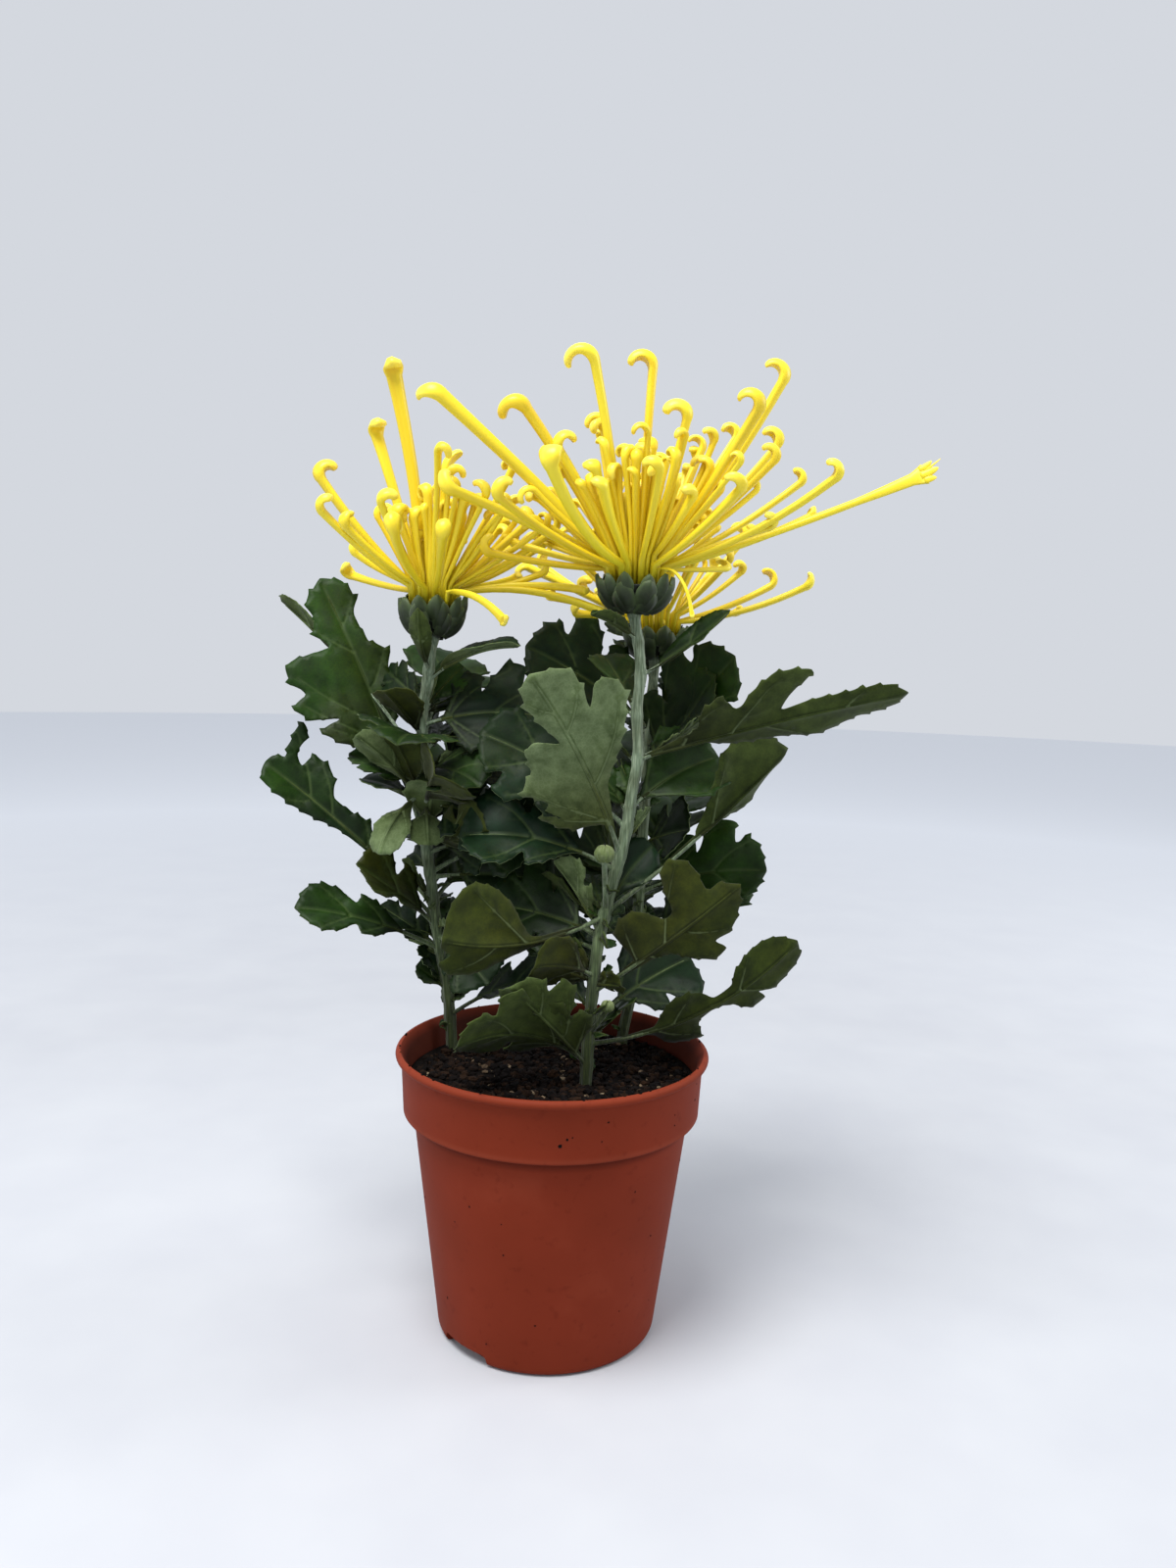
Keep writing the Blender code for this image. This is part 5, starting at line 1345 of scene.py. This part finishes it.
def addFloret(build, middle, row, rimRadius, draw):
    path, acrossCurl = floretPath(middle, row, rimRadius)
    straight, steps, last = floret["straightSteps"] + 1, floret["curlSteps"], len(path) - 1
    halfWidth, tone = row[7] * floret["swell"], draw.random()
    bend, phase, ridge = draw.uniform(-0.9, 0.9), draw.uniform(0, 6.3), draw.uniform(0, 6.3)
    tip = {key: draw.uniform(*floret[key]) for key in ("tipWidth", "tipThickness", "tipTaper")}
    torn = row[2] > floret["tornReach"]
    rings = []
    for i, centre in enumerate(path):
        onTube = i <= straight
        share = i / straight if onTube else (i - straight) / steps
        wide, thick, hollow = tubeGirth(share, halfWidth) if onTube else tipGirth(share, halfWidth, tip)
        if torn:
            flat = 0.18 * max(0, i - straight + 2) if onTube else 0.36 + 0.64 * share
            wide = halfWidth * (0.58 + floret["tornSpread"] * flat)
            thick, hollow = halfWidth * (0.58 - 0.38 * flat), 0.3
        tangent = (path[min(i + 1, last)] - path[max(i - 1, 0)]).normalized()
        across = (acrossCurl - tangent * acrossCurl.dot(tangent)).normalized()
        inner = across.cross(tangent).normalized()
        sway = bend * math.sin(math.pi * min(i / straight, 1.0)) * math.sin(2.4 * i / straight + phase)
        ring = []
        for k in range(floret["sides"]):
            angle = 2 * math.pi * k / floret["sides"]
            inward = math.sin(angle)
            groove = max(0.0, inward) ** 2 * hollow
            pleat = 1 + floret["pleat"] * math.cos(4 * angle + ridge)
            place = centre + across * (math.cos(angle) * wide * pleat + sway)
            place += inner * (inward * pleat - groove) * thick
            # painted shade for the groove, kept in the vein mark
            grooveShade = min(1.0, max(0.0, inward) ** 3 * hollow)
            ring.append(addPoint(build, place, tone, grooveShade, i / last, abs(angle / math.pi - 1)))
        rings.append(ring)
    joinRings(build, rings)
    if torn:
        addTornTip(build, path[-1], (path[-1] - path[-3]).normalized(), across * wide, tone)


def addTornTip(build, start, way, edge, tone):
    # the longest tube has opened flat and split at its end into curled shreds
    upward = edge if edge.z > 0 else -edge
    for place, lift, length, width in floret["shreds"]:
        path = [start + upward * place + way * length * (k / 8 - 0.25)
                + upward.normalized() * lift * (k / 8) ** 2 for k in range(9)]
        half = [width * math.sqrt(max(0.02, 1 - (k / 8) ** 2)) for k in range(9)]
        addTube(build, path, lambda i, angle: (half[i] * math.cos(angle), 0.4 * half[i] * math.sin(angle)), 8,
                edge.cross(way), tone=tone)


def headFlorets(spec):
    draw = random.Random(spec["seed"])
    rows = []
    for count, azimuths, rises, reaches, depth in spec["rounds"]:
        for i in range(count):
            spread = (i * 0.382 + 0.11 * depth) % 1.0  # steps of the golden section leave no gap
            azimuth = azimuths[0] + spread * (azimuths[1] - azimuths[0]) + draw.uniform(-8, 8)
            share = (i + 0.5) / count
            rise = rises[0] + (rises[1] - rises[0]) * (1 - share) + draw.uniform(-6, 6)
            # the front of a head stands up and shows its tubes in full
            rise += (78 - rise) * 0.65 * max(0.0, -math.sin(math.radians(azimuth)))
            toward = azimuth + 180 + draw.uniform(-50, 50)
            if draw.random() < 0.55:
                toward = spec["lean"] + draw.uniform(-60, 60)
            rows.append((azimuth, rise, draw.uniform(*reaches), draw.uniform(-8, 20), draw.uniform(140, 250),
                         draw.uniform(2.3, 3.5), toward, draw.uniform(1.05, 1.6), depth))
    return rows


# Involucre: tiers of bracts round a cup under each bloom
involucre = {
    "footRadius": 3.2, "fill": 0.74, "rows": 12, "sides": 36, "gap": 0.35,
    # how many bracts, where they start and end on the cup's height, and their width
    "tiers": [(6, -0.06, 0.56, 8.2), (8, 0.10, 0.84, 8.8), (10, 0.36, 1.08, 7.8)],
}


def bractSkin(name, stops, marginColour):
    # bract: thick green scale with a papery paler margin and short grey down
    look = {"Roughness": 0.55, "Sheen Weight": 0.06, "Sheen Roughness": 0.5, "Specular IOR Level": 0.35}
    material, tree, shader, space = startMaterial(name, look)
    tone = addNode(tree, "Attribute", attribute_name="tone")
    base = addNode(tree, "ValToRGB", {"Fac": tone.outputs["Fac"]}, stops=stops)
    cloud = addNode(tree, "TexNoise", {"Vector": space, "Scale": 1000 / 2.2, "Detail": 5.0})
    mottle = addNode(tree, "ValToRGB", {"Fac": cloud.outputs["Fac"]},
                     stops=[(0.3, "A8AEA4"), (0.7, "FFFFFF")])
    skin = addNode(tree, "Mix", {0: 0.8, 6: base.outputs["Color"], 7: mottle.outputs["Color"]},
                   **multiply)
    margin = addNode(tree, "Attribute", attribute_name="vein")
    fade = addNode(tree, "Math", {0: margin.outputs["Fac"], 1: 0.6}, operation="MULTIPLY")
    edged = addNode(tree, "Mix", {
        0: fade.outputs[0], 6: skin.outputs[2], 7: toLinear(marginColour)}, **blend)
    tree.links.new(edged.outputs[2], shader.inputs["Base Color"])
    down = addNode(tree, "TexNoise", {"Vector": space, "Scale": 1000 / 0.5, "Detail": 4.0})
    bump = addNode(tree, "Bump", {"Height": down.outputs["Fac"], "Distance": 0.1 * mm, "Strength": 0.4})
    tree.links.new(bump.outputs["Normal"], shader.inputs["Normal"])
    return material


def makeInvolucre(name, spec, material):
    middle, stemEnd = Vector(spec["middle"]), Vector(stemPaths[name][-1])
    top = middle.z - floret["domeSink"] - involucre["gap"]
    foot = stemEnd.z + involucre["gap"]
    footRadius, cupRadius = involucre["footRadius"], spec["cupRadius"]

    def cupPoint(share, azimuth, proud):
        spread = math.sin(min(max(share, 0.0), 1.0) * math.pi / 2) ** 0.62
        radius = footRadius + (cupRadius - footRadius) * spread + proud + max(0.0, share - 1.0) * 3.0
        centre = stemEnd.lerp(middle, share)
        place = Vector((centre.x, centre.y, 0)) + heading(azimuth, 0) * radius
        place.z = foot + (top - foot) * share
        return place

    build = newBuild()
    rings = []
    for j in range(involucre["rows"] + 1):
        share = j / involucre["rows"] * involucre["fill"]
        rings.append([addPoint(build, cupPoint(share, 360 * k / involucre["sides"], -1.2), 0.1)
                      for k in range(involucre["sides"])])
    joinRings(build, rings)
    draw = random.Random(len(name) + 3)
    for tier, (count, start, end, width) in enumerate(involucre["tiers"]):
        for k in range(count):
            azimuth = 360 * (k + 0.5 * (tier % 2)) / count + draw.uniform(-5, 5)
            tipOut = draw.uniform(0.2, 1.3)
            shift = draw.uniform(-0.07, 0.07)
            proud = 1.0 - 0.55 * tier
            addBract(build, azimuth, width * draw.uniform(0.9, 1.08), 0, tier,
                     lambda share: cupPoint(start + shift + (end - start) * share, azimuth,
                                            proud + tipOut * share ** 3))
    makePiece(name + "Involucre", build, [material], [name + "_bloom_involucre"])


def makeBloom(name, spec, material):
    middle = Vector(spec["middle"])
    radius = 0.7 * floret["domeRadius"]
    dome = [(0, 0), (radius, 0)] + arc((0, 0), (radius, floret["domeHeight"]), 8, 90, 8)
    dome[-1] = (0, floret["domeHeight"])
    build = turnedBuild([(reach, height - floret["domeDrop"]) for reach, height in dome], 24)
    build["points"] = [place + middle for place in build["points"]]
    draw = random.Random(spec["seed"] + 5)
    for row in spec["florets"] + headFlorets(spec):
        addFloret(build, middle, row, spec["cupRadius"], draw)
    makePiece(name + "Florets", build, [material], [name + "_bloom_florets"])
    print(name, "bloom:", len(build["faces"]), "faces")


makePot()
crumblyPeat = makeSoil()
makeDirt(crumblyPeat)
print("pot and peat made")
makePlant()
petalMaterial = rayFloret()
scaleMaterial = bractSkin("downyBract", [(0.0, "131B0A"), (0.5, "212D10"), (1.0, "3A4B28")], "5A6E42")
for bloomName, bloomSpec in bloomRows.items():
    makeInvolucre(bloomName, bloomSpec, scaleMaterial)
    makeBloom(bloomName, bloomSpec, petalMaterial)
print("blooms made")
